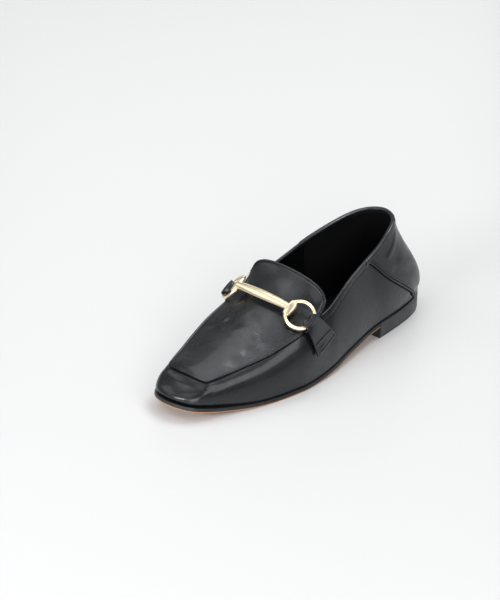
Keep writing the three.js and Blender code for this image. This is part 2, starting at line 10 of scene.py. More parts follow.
import bpy
import numpy as np
from bpy.props import FloatProperty, FloatVectorProperty, PointerProperty
from mathutils import Matrix, Vector


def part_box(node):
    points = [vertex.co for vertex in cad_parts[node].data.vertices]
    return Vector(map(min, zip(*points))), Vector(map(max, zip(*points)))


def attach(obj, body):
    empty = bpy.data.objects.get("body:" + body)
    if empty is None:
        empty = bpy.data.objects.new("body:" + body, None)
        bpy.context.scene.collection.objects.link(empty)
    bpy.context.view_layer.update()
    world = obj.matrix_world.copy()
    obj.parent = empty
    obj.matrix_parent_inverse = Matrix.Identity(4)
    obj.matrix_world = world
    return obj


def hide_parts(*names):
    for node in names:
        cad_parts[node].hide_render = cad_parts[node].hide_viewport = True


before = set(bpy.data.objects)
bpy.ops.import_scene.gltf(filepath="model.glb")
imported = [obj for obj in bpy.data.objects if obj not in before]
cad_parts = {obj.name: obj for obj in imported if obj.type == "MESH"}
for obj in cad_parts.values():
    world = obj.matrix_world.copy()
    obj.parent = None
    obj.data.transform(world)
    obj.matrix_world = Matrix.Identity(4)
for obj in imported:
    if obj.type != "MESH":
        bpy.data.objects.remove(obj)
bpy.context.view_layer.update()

bl_info = {
    "name": "Bit loafer",
    "version": (1, 0, 0),
    "blender": (4, 5, 0),
    "location": "3D View > Sidebar > Loafer",
    "description": "Leather, lining, soles, bit and stage of a bit loafer",
    "category": "Object",
}

# Sizes of the shoe, the same as in its solids
SOLE_LENGTH = 256
BALL_WIDTH = 80
BACK_RISE = 68.6
SOLE_THICKNESS = 3.2
HEEL_HEIGHT = 9
HEEL_BREAST = 65
TOE_SPRING = 9
TREAD_BACK = 161
TREAD_FRONT = 186
LEDGE = 1.1
GAP = 0.3
OVERLAY = 0.4
APRON_THICKNESS = 1.2
TONGUE_LENGTH = 9.3
TONGUE_CORNER = 5
THROAT_CUT = 14
FOOT_PULL, EDGE_PULL = 0.36, 0.4  # how far the wall's curve follows its ends
CROWN_SKEW = 0.85  # moves the crown's top to one side at the throat
CROWN_SOFT, CROWN_FULL = 1.2, 0.6  # the arch's power in front and at the throat
BIT_ALONG = 155.4
BIT_ACROSS = -2.2
BIT_LIFT = 5.4
BIT_PITCH = 31
BAR_LENGTH = 47
BAR_SAG = 1.3
BAR_OVER = 1.2
RING_RADIUS = 10.3
RING_WIRE = 1.3
RING_DROP = {1: 25.5, -1: 38}

# Sizes of the leather work and the bit's finish
BINDING_ON_QUARTERS = 1.5  # times its width round the heel
BINDING_ROW = 0.65  # from the row of stitches to the binding's lower edge
TONGUE_ROW = 1.9  # from the tongue's edge
HEEL_ROW = -1.6  # behind the heel panel's edge
ROW_SPREAD = 0.42  # of the dent that a row of stitches leaves
STRAP_THICKNESS = 1.1
STRAP_WIDTH = 12.5  # round the ring's wire
STRAP_SEWN = 0.42  # share of the way up the wall
STRAP_LIFT = 1.55
STRAP_ROWS = 1.3, 8.4  # the sewn rectangle, from the strap's lower edge
STRAP_MARGIN = 6  # the same from its sides, in columns of 72
SLAB_BEVEL = 0.25
BLOCK_RISE = 42  # from the back, over which the heel block's top slopes
BLOCK_SLOPE = 2.2
PLATE_LONG, PLATE_WIDE, PLATE_HIGH, PLATE_CENTRE = 5.9, 3.3, 2.3, 2.0
BAR_WIDTH, BAR_TAPER, BAR_DEPTH = 7.3, 2.1, 1.75
RING_SHOWN = 1.38  # half of the wire's thickness

# The camera that was fitted to the photograph
FOCAL_PIXELS, PICTURE_HEIGHT = 1975.8, 600
CAMERA_ANGLES = 133.095, 26.759, 1.08  # turn, tilt and roll in degrees
CAMERA_TARGET = 131.14, -38.76, 30
CAMERA_AWAY = 1.4394  # metres

# Sole along and across, edge along, across and rise, flare and lean, from the toe round by the
# outer side, the back and the inner side
STATIONS = np.array([
    (1.0, 0.006, 0.927, 0.025, 0.251, 14, 62),
    (0.992, 0.144, 0.925, 0.138, 0.246, 14, 62),
    (0.971, 0.248, 0.917, 0.232, 0.242, 12, 60),
    (0.936, 0.315, 0.891, 0.266, 0.268, 10, 56),
    (0.887, 0.375, 0.848, 0.313, 0.315, 8, 52),
    (0.8125, 0.46, 0.789, 0.366, 0.372, 6, 50),
    (0.73, 0.529, 0.721, 0.425, 0.431, 5, 48),
    (0.645, 0.565, 0.641, 0.47, 0.516, 5, 42),
    (0.582, 0.564, 0.586, 0.474, 0.56, 5, 36),
    (0.526, 0.548, 0.534, 0.43, 0.59, 5, 30),
    (0.486, 0.53, 0.494, 0.422, 0.612, 5, 24),
    (0.445, 0.5, 0.453, 0.398, 0.649, 5, 20),
    (0.383, 0.463, 0.395, 0.358, 0.705, 6, 16),
    (0.32, 0.423, 0.336, 0.315, 0.736, 7, 14),
    (0.258, 0.391, 0.283, 0.283, 0.767, 8, 13),
    (0.203, 0.37, 0.23, 0.265, 0.84, 11, 12),
    (0.145, 0.343, 0.182, 0.233, 0.927, 13, 12),
    (0.08, 0.3, 0.141, 0.181, 0.974, 16, 13),
    (0.022, 0.212, 0.111, 0.094, 0.993, 20, 15),
    (0.0, 0.035, 0.096, -0.038, 1.0, 22, 15),
    (0.022, -0.142, 0.107, -0.156, 0.988, 20, 15),
    (0.08, -0.232, 0.139, -0.228, 0.974, 15, 13),
    (0.143, -0.28, 0.18, -0.273, 0.948, 12, 10),
    (0.199, -0.306, 0.227, -0.3, 0.913, 10, 10),
    (0.258, -0.323, 0.279, -0.328, 0.865, 9, 9),
    (0.32, -0.335, 0.33, -0.36, 0.813, 9, 9),
    (0.383, -0.35, 0.387, -0.4, 0.738, 9, 10),
    (0.445, -0.369, 0.445, -0.425, 0.684, 8, 14),
    (0.492, -0.386, 0.492, -0.43, 0.643, 8, 18),
    (0.534, -0.402, 0.534, -0.428, 0.612, 8, 24),
    (0.584, -0.419, 0.588, -0.424, 0.58, 7, 32),
    (0.645, -0.433, 0.645, -0.415, 0.536, 6, 38),
    (0.719, -0.425, 0.719, -0.388, 0.472, 6, 45),
    (0.793, -0.381, 0.787, -0.343, 0.393, 6, 50),
    (0.863, -0.325, 0.85, -0.283, 0.317, 8, 54),
    (0.922, -0.288, 0.895, -0.233, 0.268, 10, 58),
    (0.965, -0.231, 0.923, -0.183, 0.243, 12, 60),
    (0.991, -0.131, 0.927, -0.088, 0.247, 14, 62),
])
SOLE_ALONG, SOLE_ACROSS, EDGE_ALONG, EDGE_ACROSS, EDGE_RISE, FLARE, LEAN = range(7)
ROUND = len(STATIONS)
BACK = 19
OUTER_CORNER, INNER_CORNER = 2, 36
OUTER_THROAT, INNER_THROAT = 9, 29
OUTER_SIDE, INNER_SIDE = 14, 25

# Along the apron, and the crown's height as a share of the back's
CROWN = np.array([(0, 0), (0.12, 0.036), (0.3, 0.056), (0.48, 0.073), (0.64, 0.088),
                  (0.8, 0.136), (0.92, 0.186), (1, 0.208), (1.1, 0.115)])
# Place counted from the side point towards the back, and how far up the wall
HEEL_SEAM = np.array([(-0.27, 1), (0.05, 0.93), (0.35, 0.84), (0.65, 0.73), (0.92, 0.63),
                      (1.33, 0.5), (1.9, 0.35), (2.45, 0.22), (2.95, 0.1), (3.2, 0.03)])
# Each strap's sewn end and where it leaves the wall: place round the shoe and height up the wall
STRAPS = {
    1: ((7.75, 0.535), (9.65, 0.59), (7.55, 0.86), (9.2, 0.86)),
    -1: ((29.9, 0.5), (28.2, 0.56), (30.3, 0.84), (29.2, 0.85)),
}

# Folds: a line of places in millimetres, its width and how far it rises
APRON_FOLDS = [
    ([(165, -21.5), (172, -18.5), (179, -16.3), (187, -15.6)], 2.8, 0.4),
    ([(190, -19.5), (186, -15.5), (182.5, -10.5), (183.2, -3)], 3.0, -0.36),
    ([(187, 1), (182, 6.5), (183, 13)], 3.6, 0.22),
    ([(196, 20), (193.4, 11), (190.5, 3), (191, -6)], 4, -0.34),
    ([(183.5, 23.5), (178.5, 15.7), (174.7, 8), (172, 0)], 3.8, -0.34),
    ([(209, 19), (208, 9), (205, 0)], 4.4, -0.26),
    ([(150, -20), (144, -4), (146, 12)], 6, 0.25),
]
VAMP_FOLDS = [
    ([(224, 28), (210, 32), (196, 36)], 5, 0.25),
    ([(188, 41), (172, 44)], 6, -0.2),
]
# The same on the wall of the heel, by place and height, with the tuck above the sole
HEEL_FOLDS = [
    ([(16.95, 0.91), (16.5, 0.85), (15.95, 0.81), (15.5, 0.79)], 2.3, 0.34),
    ([(17.6, 0.84), (17.0, 0.74), (16.2, 0.7)], 4.0, -0.12),
    ([(15.8, 0.57), (16.3, 0.49), (16.9, 0.41)], 3.2, -0.34),
    ([(16.4, 0.6), (17.0, 0.52), (17.6, 0.5)], 3.4, 0.2),
    ([(21.0, 0.84), (21.8, 0.72), (22.6, 0.66)], 3.2, -0.25),
    ([(16.6, 0.1), (18, 0.09), (20, 0.09), (21.6, 0.1)], 2.2, -0.8),
]

# Name, place, width, height and how bright its face is
LIGHTS = (
    ("back_window", (-0.94, 0.0, 1.77), 1.0, 0.8, 6.8),
    ("key", (-0.34, -0.7, 1.45), 0.8, 0.6, 1.65),
    ("top_window", (-0.02, -0.45, 1.5), 0.7, 0.6, 1.1),
    ("bit_window", (0.66, -0.92, 1.02), 1.1, 0.7, 1.5),
    ("toe_window", (1.4, 0.06, 0.63), 0.7, 0.2, 27.0),
    ("front_low", (1.37, 1.37, 0.48), 1.0, 0.8, 5.8),
    ("toe_fill", (1.94, 0.0, 0.48), 1.0, 0.8, 0.6),
    ("side_fill", (0.0, 1.58, 1.23), 1.0, 0.8, 3.6),
    ("front_fill", (0.94, 0.0, 1.77), 1.0, 0.8, 1.5),
    ("rear_fill", (-0.66, 0.66, 1.77), 1.0, 0.8, 2.2),
    ("inner_fill", (-1.37, -1.37, 0.48), 1.0, 0.8, 1.2),
)


def smooth(t):
    """A soft step from 0 to 1."""
    t = np.clip(t, 0, 1)
    return t * t * (3 - 2 * t)


def unit(vectors):
    """Vectors at length one."""
    return vectors / np.maximum(np.linalg.norm(vectors, axis=-1, keepdims=True), 1e-9)


def rounded(column, place):
    """A column of the stations at places round the shoe."""
    place = np.asarray(place, float)
    k = np.floor(place).astype(int)
    t = place - k
    a, b, c, d = (STATIONS[(k + i) % ROUND, column] for i in (-1, 0, 1, 2))
    return b + 0.5 * t * (c - a + t * (2 * a - 5 * b + 4 * c - d + t * (3 * (b - c) + d - a)))


def along_table(rows, at):
    """A smooth curve through the rows of a table."""
    at = np.asarray(at, float)
    x, y = rows[:, 0], rows[:, 1]
    last = len(x) - 1
    low, high = np.maximum(np.arange(last + 1) - 1, 0), np.minimum(np.arange(last + 1) + 1, last)
    slope = (y[high] - y[low]) / (x[high] - x[low])
    k = np.clip(np.searchsorted(x, at, side="left") - 1, 0, last - 1)
    span = x[k + 1] - x[k]
    t = (at - x[k]) / span
    return (y[k] * (1 + 2 * t) * (1 - t) ** 2 + y[k + 1] * t * t * (3 - 2 * t)
            + span * t * (1 - t) * (slope[k] * (1 - t) - slope[k + 1] * t))


def sole_bottom(along):
    """Height of the sole's underside above the floor."""
    ahead = np.clip((along - TREAD_FRONT) / (SOLE_LENGTH - TREAD_FRONT), 0, None)
    behind = smooth((TREAD_BACK - along) / (TREAD_BACK - HEEL_BREAST))
    return TOE_SPRING * ahead ** 2 + HEEL_HEIGHT * behind


def outline(place, inset=0.0):
    """The sole's outline drawn in by an inset, with the outward direction in plan."""
    place = np.asarray(place, float)

    def at(p):
        x = rounded(SOLE_ALONG, p) * SOLE_LENGTH
        return np.stack([x, rounded(SOLE_ACROSS, p) * BALL_WIDTH, 0 * x], -1)

    step = at(place + 0.01) - at(place - 0.01)
    out = unit(np.stack([step[..., 1], -step[..., 0], 0 * step[..., 0]], -1))
    return at(place) - out * np.asarray(inset)[..., None], out


def edge_at(place):
    """The edge line: the apron seam in front and the topline behind."""
    x = rounded(EDGE_ALONG, place) * SOLE_LENGTH
    z = sole_bottom(x) + SOLE_THICKNESS + rounded(EDGE_RISE, place) * BACK_RISE
    return np.stack([x, rounded(EDGE_ACROSS, place) * BALL_WIDTH, z], -1)


def wall_at(place, up):
    """The wall of the upper from the foot line (0) to the edge line (1)."""
    place, up = np.broadcast_arrays(np.asarray(place, float), np.asarray(up, float))
    foot, out = outline(place, LEDGE)
    foot[..., 2] = sole_bottom(foot[..., 0]) + SOLE_THICKNESS + GAP
    edge = edge_at(place)
    reach = np.linalg.norm(edge - foot, axis=-1)[..., None]
    flare, lean = (np.radians(rounded(c, place))[..., None] for c in (FLARE, LEAN))
    rise = np.array([0.0, 0.0, 1.0])
    low = foot + (out * np.sin(flare) + rise * np.cos(flare)) * FOOT_PULL * reach
    high = edge + (out * np.sin(lean) - rise * np.cos(lean)) * EDGE_PULL * reach
    u = up[..., None]
    d = 1 - u
    return foot * d ** 3 + low * 3 * d * d * u + high * 3 * d * u * u + edge * u ** 3


def on_wall(place, up, lift=0.0):
    """Points lifted off the wall, and the wall's outward normals."""
    place, up = np.broadcast_arrays(np.asarray(place, float), np.asarray(up, float))
    step = 0.004
    along = wall_at(place + step, up) - wall_at(place - step, up)
    rise = wall_at(place, np.minimum(up + step, 1)) - wall_at(place, np.maximum(up - step, 0))
    normal = unit(np.cross(along, rise))
    return wall_at(place, up) + normal * np.asarray(lift)[..., None], normal


SEAM_LENGTH = float(edge_at(OUTER_CORNER)[0] - edge_at(OUTER_THROAT)[0])


def seam_at(side, at):
    """A side of the apron seam, which runs on past the throat as the side of the tongue."""
    at = np.asarray(at, float)
    corner, throat = (OUTER_CORNER, OUTER_THROAT) if side > 0 else (INNER_CORNER, INNER_THROAT)
    rise, spread = (1.2, 0.1) if side > 0 else (1.4, 0.35)
    point = edge_at(corner + (throat - corner) * np.minimum(at, 1))
    back = np.maximum(at - 1, 0) * SEAM_LENGTH
    return point + np.array([-1.0, side * spread, rise]) * back[..., None]


def crown_at(at, across):
    """The crown: at along the apron from its front, across from the inner seam to the outer."""
    at, across = np.broadcast_arrays(np.asarray(at, float), np.asarray(across, float))
    inner, outer = seam_at(-1, at), seam_at(1, at)
    point = inner + (outer - inner) * across[..., None]
    front = edge_at(INNER_CORNER - ROUND + (OUTER_CORNER - INNER_CORNER + ROUND) * across)
    ends = seam_at(-1, 0.0), seam_at(1, 0.0)
    straight = ends[0] + (ends[1] - ends[0]) * across[..., None]
    point = point + (front - straight) * (np.maximum(0, 1 - at) ** 3)[..., None]
    back = np.minimum(at, 1) ** 6
    skewed = across ** (1 + (CROWN_SKEW - 1) * back)
    power = CROWN_SOFT + (CROWN_FULL - CROWN_SOFT) * back
    arch = np.maximum(4 * skewed * (1 - skewed), 0) ** power
    point[..., 2] += along_table(CROWN, at) * BACK_RISE * arch
    return point


def on_crown(at, across, lift=0.0):
    """Points lifted off the crown, and the crown's normals."""
    at, across = np.broadcast_arrays(np.asarray(at, float), np.asarray(across, float))
    a, c = np.maximum(at, 0.01), np.clip(across, 0.03, 0.97)
    step = 0.004
    over = crown_at(a, np.minimum(c + step, 1)) - crown_at(a, np.maximum(c - step, 0))
    along = crown_at(a + step, c) - crown_at(np.maximum(a - step, 0), c)
    normal = unit(np.cross(over, along))
    return crown_at(at, across) + normal * np.asarray(lift)[..., None], normal


def heel_seam_place(up):
    """Stations from the side point to the heel seam at a height up the wall."""
    return along_table(HEEL_SEAM[::-1, ::-1], up)


def eased_shares(count):
    """Shares from 0 to 1 that crowd at both ends."""
    return 0.5 - 0.5 * np.cos(np.pi * np.linspace(0, 1, count + 1))


def between(at, known, values):
    """Rows of values at places between the known ones."""
    columns = [np.interp(at, known, column) for column in values.reshape(len(known), -1).T]
    return np.stack(columns, -1).reshape(len(at), *values.shape[1:])


def run_length(path):
    """Length along a path at each of its points."""
    return np.concatenate([[0], np.cumsum(np.linalg.norm(np.diff(path, axis=0), axis=1))])


def sheet_normals(sheet):
    """Outward normals of a sheet of points (rows, columns, 3)."""
    return unit(np.cross(np.gradient(sheet, axis=1), np.gradient(sheet, axis=0)))


def distance_to(points, line):
    """How far points lie from a line of corners."""
    nearest = np.full(points.shape[:-1], 1e9)
    for a, b in zip(line[:-1], line[1:]):
        run = b - a
        t = np.clip(((points - a) @ run) / max(run @ run, 1e-9), 0, 1)
        nearest = np.minimum(nearest, np.linalg.norm(points - a - t[..., None] * run, axis=-1))
    return nearest


def ridge(away, middle, width):
    """A soft ridge one high, over distances from a line."""
    return np.exp(-((away - middle) / width) ** 2)


def relief(points, folds):
    """How far points rise or sink over soft folds."""
    rise = np.zeros(points.shape[:-1])
    for line, width, height in folds:
        line = np.array(line, float)
        rise += height * ridge(distance_to(points[..., :line.shape[1]], line), 0, width)
    return rise


def heel_seam_line(side, low=0.02, high=0.995, count=90, inset=0.0):
    """The heel seam on the wall, or a line beside it, with the wall's normals there."""
    up = np.linspace(high, low, count)
    start, turn = (OUTER_SIDE, 1) if side > 0 else (INNER_SIDE, -1)
    points, normal = on_wall(start + turn * heel_seam_place(up), up)
    inward = unit(np.cross(unit(np.gradient(points, axis=0)), normal)) * side
    return points + inward * inset, normal


def back_folds():
    """The folds of the heel as lines on the wall."""
    folds = []
    for spots, width, height in HEEL_FOLDS:
        spots = np.array(spots)
        fine = np.linspace(0, len(spots) - 1, 6 * len(spots))
        place, up = between(fine, np.arange(len(spots)), spots).T
        folds.append((wall_at(place, up), width, height))
    return folds


# The frame's origin lies on the floor under the middle of the shoe.
_plan = outline(np.linspace(0, ROUND, 2000))[0]
_sole_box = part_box("outsole")
SHIFT = np.array([
    _sole_box[0][0] * 1000 - _plan[:, 0].min(),
    _sole_box[0][1] * 1000 - _plan[:, 1].min(),
    0.0,
])


def framed(points):
    """Millimetres in the shoe's frame as metres in the part's frame."""
    return (np.asarray(points) + SHIFT) / 1000


def bit_frame():
    """The bit's own frame: x to the toe along the instep, y along the bar, z off the instep."""
    at = (SEAM_LENGTH + edge_at(OUTER_THROAT)[0] - BIT_ALONG) / SEAM_LENGTH
    point = on_crown(at, 0.5, OVERLAY + APRON_THICKNESS + BIT_LIFT)[0]
    place = Matrix.Translation((float(point[0]), BIT_ACROSS, float(point[2])))
    return place @ Matrix.Rotation(math.radians(BIT_PITCH), 4, "Y")


def ring_frame(side):
    """A ring's frame: its middle is the ring's, y out to the strap."""
    hinge = Matrix.Translation((0, side * BAR_LENGTH / 2, -BAR_SAG - BAR_OVER))
    drop = Matrix.Rotation(-side * math.radians(RING_DROP[side]), 4, "X")
    return bit_frame() @ hinge @ drop @ Matrix.Translation((0, side * RING_RADIUS, 0))


def moved(matrix, points):
    """Points through a frame."""
    m = np.array(matrix)
    return np.asarray(points) @ m[:3, :3].T + m[:3, 3]


def clear_selection():
    """Nothing is selected, and Blender is in object mode."""
    if bpy.context.object and bpy.context.object.mode != "OBJECT":
        bpy.ops.object.mode_set(mode="OBJECT")
    bpy.ops.object.select_all(action="DESELECT")


def take(piece):
    """The piece alone is selected and active."""
    clear_selection()
    piece.select_set(True)
    bpy.context.view_layer.objects.active = piece


def edited(piece, merge=0.0, outward=False):
    """Corners nearer than a distance in millimetres are merged, or faces turned outward."""
    take(piece)
    bpy.ops.object.mode_set(mode="EDIT")
    bpy.ops.mesh.select_all(action="SELECT")
    if merge:
        bpy.ops.mesh.remove_doubles(threshold=merge / 1000)
    if outward:
        bpy.ops.mesh.normals_make_consistent(inside=False)
    bpy.ops.object.mode_set(mode="OBJECT")


def added(name):
    """The mesh that was just added, under its name."""
    piece = bpy.context.object
    piece.name = piece.data.name = name
    return piece


def laid(piece, points):
    """The piece's corners put at points in millimetres."""
    piece.data.vertices.foreach_set("co", framed(points).ravel())
    piece.data.update()


def laid_grid(name, points):
    """A grid laid on points (rows, columns, 3). Its faces look along columns x rows."""
    rows, columns = points.shape[0] - 1, points.shape[1] - 1
    clear_selection()
    bpy.ops.mesh.primitive_grid_add(x_subdivisions=columns, y_subdivisions=rows, size=1)
    piece = added(name)
    flat = np.empty(len(piece.data.vertices) * 3)
    piece.data.vertices.foreach_get("co", flat)
    x, y, _ = flat.reshape(-1, 3).T
    i, j = np.rint((y + 0.5) * rows).astype(int), np.rint((x + 0.5) * columns).astype(int)
    laid(piece, points[i, j])
    return piece


def closed_tube(name, rings):
    """A tube through rings of corners, closed at both ends."""
    points = np.concatenate([rings, rings[:, :1]], axis=1)
    middle = np.repeat(points.mean(axis=1, keepdims=True), points.shape[1], axis=1)
    piece = laid_grid(name, np.concatenate([middle[:1], points, middle[-1:]]))
    edited(piece, merge=0.01, outward=True)
    return piece


def modified(piece, kind, **settings):
    """A modifier added and applied."""
    take(piece)
    bpy.ops.object.modifier_add(type=kind)
    modifier = piece.modifiers[-1]
    for key, value in settings.items():
        setattr(modifier, key, value)
    bpy.ops.object.modifier_apply(modifier=modifier.name)


def bevelled(piece, width, segments=2, angle=50):
    """Edges sharper than an angle made soft, by a width in millimetres."""
    modified(piece, "BEVEL", width=width / 1000, segments=segments, limit_method="ANGLE",
             angle_limit=math.radians(angle))


def softened(piece, angle=None):
    """Smooth shading, all over or up to an angle."""
    take(piece)
    if angle is None:
        bpy.ops.object.shade_smooth()
    else:
        bpy.ops.object.shade_smooth_by_angle(angle=math.radians(angle))


def finished(piece, material, slot, *nodes):
    """The piece rides on the shoe, stands for its nodes and takes its finish."""
    piece.data.materials.clear()
    piece.data.materials.append(material)
    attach(piece, "root")
    if nodes:
        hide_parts(*nodes)


def sheet_piece(name, points, thickness, bevel, finish, slot, *nodes, segments=2, round_shoe=False):
    """A sheet of leather laid on points, with its thickness and soft edges in millimetres."""
    piece = laid_grid(name, points)
    if round_shoe:
        edited(piece, merge=0.02)
    modified(piece, "SOLIDIFY", thickness=thickness / 1000, offset=-1.0)
    bevelled(piece, bevel, segments)
    softened(piece)
    finished(piece, finish, slot, *nodes)


def slab(name, points, thickness, bevel, angle=50):
    """A slab that stands up from its lower face."""
    piece = laid_grid(name, points)
    edited(piece, merge=0.02, outward=True)
    up = sum(face.normal.z * face.area for face in piece.data.polygons)
    modified(piece, "SOLIDIFY", thickness=thickness / 1000, offset=1.0 if up > 0 else -1.0)
    bevelled(piece, bevel, angle=angle)
    return piece


def swept(name, path, out, profile):
    """A profile of (sideways, out) points carried along a path with its outward directions."""
    run = unit(np.gradient(path, axis=0))
    side = unit(np.cross(out, run))
    face = unit(np.cross(run, side))
    rings = path[:, None] + side[:, None] * profile[:, :1] + face[:, None] * profile[:, 1:]
    piece = closed_tube(name, rings)
    softened(piece)
    return piece


def oval(width, height, count=12):
    """An oval profile."""
    turn = np.linspace(0, 2 * np.pi, count, endpoint=False)
    return np.stack([np.cos(turn) * width / 2, np.sin(turn) * height / 2], -1)


def stitches(name, path, out, pitch, length, thick):
    """A row of sewn stitches along a path: each a short plump stitch sunk at its ends."""
    run_at = run_length(path)
    even = np.linspace(0, run_at[-1], max(2, int(round(run_at[-1] / pitch)) + 1))
    spots, outs = between(even, run_at, path), unit(between(even, run_at, out))
    run = unit(np.gradient(spots, axis=0))
    side = unit(np.cross(outs, run))
    clear_selection()
    bpy.ops.mesh.primitive_uv_sphere_add(segments=6, ring_count=5, radius=0.5)
    piece = added(name)
    one = np.array([corner.co for corner in piece.data.vertices])
    faces = [list(face.vertices) for face in piece.data.polygons]
    corners, quads = [], []
    for k, middle in enumerate((spots[:-1] + spots[1:]) / 2):
        corners.append(middle + run[k] * one[:, 2:3] * length + side[k] * one[:, :1] * thick
                       + outs[k] * (one[:, 1:2] * thick * 0.8 + 0.08))
        quads += [[i + k * len(one) for i in face] for face in faces]
    piece.data.clear_geometry()
    piece.data.from_pydata(framed(np.concatenate(corners)).tolist(), [], quads)
    piece.data.update()
    edited(piece, outward=True)
    softened(piece)
    return piece


class Nodes:
    """A material's node tree, built line by line."""

    def __init__(self, name):
        self.material = bpy.data.materials.new(name)
        self.material.use_nodes = True
        self.tree = self.material.node_tree
        self.coordinates = self.node("TexCoord", "Object", {})

    def feed(self, node, inputs):
        """A node's inputs linked to other nodes, or set where they are plain values."""
        for key, value in inputs.items():
            if isinstance(value, bpy.types.NodeSocket):
                self.tree.links.new(value, node.inputs[key])
            else:
                node.inputs[key].default_value = value

    def node(self, kind, output, inputs):
        """A node's output, with its inputs fed."""
        node = self.tree.nodes.new("ShaderNode" + kind)
        self.feed(node, inputs)
        return node.outputs[output]

    def stretched(self, scale, turn=(0, 0, 0)):
        """Object coordinates scaled, and turned in degrees."""
        turn = [math.radians(angle) for angle in turn]
        return self.node("Mapping", "Vector", {"Scale": scale, "Rotation": turn,
                                               "Vector": self.coordinates})

    def noise(self, scale, detail, vector=None, roughness=0.5):
        return self.node("TexNoise", "Fac", {
            "Scale": scale, "Detail": detail, "Roughness": roughness,
            "Vector": vector or self.coordinates})

    def ranged(self, value, low, high, to_low, to_high):
        return self.node("MapRange", "Result", {"Value": value, "From Min": low, "From Max": high,
                                                "To Min": to_low, "To Max": to_high})

    def bumped(self, height, distance, strength=0.5, under=None):
        inputs = {"Distance": distance, "Strength": strength, "Height": height}
        if under:
            inputs["Normal"] = under
        return self.node("Bump", "Normal", inputs)

    def dyed(self, value, colour, *stops):
        """A colour made darker and lighter over a value: stops are places and factors."""
        node = self.tree.nodes.new("ShaderNodeValToRGB")
        ramp = node.color_ramp
        while len(ramp.elements) < len(stops):
            ramp.elements.new(0.5)
        for element, (at, factor) in zip(ramp.elements, stops):
            element.position = at
            element.color = (*(min(1.0, c * factor) for c in colour), 1)
        self.feed(node, {"Fac": value})
        return node.outputs["Color"]

    def dressed(self, inputs):
        """The material, with its shader fed."""
        self.feed(self.tree.nodes["Principled BSDF"], inputs)
        return self.material


def leather(name, colour, roughness, grain, coat, shine):
    """Smooth dyed leather: fine pores, a faint pebble, and polish that comes and goes."""
    n = Nodes(name)
    patches = n.noise(48, 3)
    rubbed = n.noise(1, 5, n.stretched((260, 700, 260), (0, 0, 25)), 0.6)
    pores = n.bumped(n.noise(2600, 2), 0.00006 * grain)
    pebble = n.bumped(n.noise(1300, 2), 0.00009 * grain, under=pores)
    return n.dressed({
        "Base Color": n.dyed(patches, colour, (0.3, 0.8), (0.7, 1.25)),
        "Roughness": n.node("Math", 0, {
            0: n.ranged(patches, 0.3, 0.7, roughness - 0.09, roughness + 0.09),
            1: n.ranged(rubbed, 0.35, 0.7, -0.06, 0.06)}),
        "Normal": n.bumped(n.noise(90, 1), 0.0005 * grain, 0.15, pebble),
        "Specular IOR Level": shine,
        # Painted light colour: the reflections are tinted cool, standing in for cool window light.
        "Specular Tint": (0.87, 0.94, 1.0, 1),
        "Coat Weight": coat,
        "Coat Roughness": 0.12,
    })


def suede(name, colour):
    """Napped lining, almost without shine."""
    n = Nodes(name)
    nap = n.noise(900, 4)
    return n.dressed({
        "Base Color": n.dyed(nap, colour, (0.3, 0.7), (0.7, 1.4)),
        "Roughness": n.ranged(nap, 0.3, 0.7, 0.85, 1.0),
        "Normal": n.bumped(nap, 0.0002),
        "Specular IOR Level": 0.15,
    })


def inked_edge(name, colour, roughness):
    """Painted leather edge: fine lines along it and a slight unevenness."""
    n = Nodes(name)
    lines = n.noise(1, 3, n.stretched((90, 90, 2400)))
    return n.dressed({
        "Base Color": n.dyed(lines, colour, (0.3, 0.75), (0.7, 1.25)),
        "Roughness": n.ranged(n.noise(160, 3), 0.3, 0.7, roughness - 0.07, roughness + 0.09),
        "Normal": n.bumped(lines, 0.00015),
    })


def tread_leather(name, colour):
    """Tan sole leather: mottled, with a brushed grain and darker burnish in places."""
    n = Nodes(name)
    brushed = n.noise(1, 3, n.stretched((160, 2200, 400)))
    return n.dressed({
        "Base Color": n.dyed(n.noise(38, 5), colour, (0.25, 0.72), (0.55, 1), (0.8, 1.18)),
        "Roughness": n.ranged(brushed, 0.3, 0.7, 0.42, 0.6),
        "Normal": n.bumped(brushed, 0.0001),
    })


def gilt(name, colour):
    """Polished pale gold plate with faint hairlines."""
    n = Nodes(name)
    hairlines = n.noise(1, 2, n.stretched((300, 300, 2600), (20, 0, 35)))
    return n.dressed({
        "Base Color": n.dyed(n.noise(120, 2), colour, (0.3, 0.93), (0.7, 1.05)),
        "Roughness": n.ranged(hairlines, 0.3, 0.7, 0.29, 0.32),
        "Metallic": 1.0,
    })


def waxed_thread(name, colour):
    """Twisted thread."""
    n = Nodes(name)
    twist = n.noise(1, 2, n.stretched((3200, 3200, 900), (0, 35, 20)))
    return n.dressed({
        "Base Color": n.dyed(twist, colour, (0.35, 0.6), (0.65, 1.4)),
        "Roughness": n.ranged(twist, 0.3, 0.7, 0.7, 0.9),
        "Specular IOR Level": 0.12,
    })


def paper(name, colour):
    """The pale, slightly glossy studio floor."""
    n = Nodes(name)
    cloud = n.noise(1.2, 2)
    return n.dressed({
        "Base Color": n.dyed(cloud, colour, (0.3, 0.985), (0.7, 1)),
        "Roughness": n.ranged(cloud, 0.3, 0.7, 0.3, 0.36),
        "Specular IOR Level": 0.35,
    })


def colour_setting(name, description, default):
    return FloatVectorProperty(name=name, description=description, subtype="COLOR", size=3,
                               min=0, max=1, default=default)


def length_setting(name, description, default):
    return FloatProperty(name=name, description=description, default=default, min=0,
                         unit="LENGTH", subtype="DISTANCE", precision=4)


class LoaferSizes(bpy.types.PropertyGroup):
    """Sizes that a maker would change."""

    binding: length_setting("Binding width", "Width of the binding along the topline", 0.003)
    stitch: length_setting("Stitch pitch", "From one stitch to the next", 0.0019)
    thread: length_setting("Thread", "Thickness of the thread", 0.00034)
    heel_fold: length_setting("Heel panel edge", "How far the heel panel's folded edge stands up",
                              0.0012)


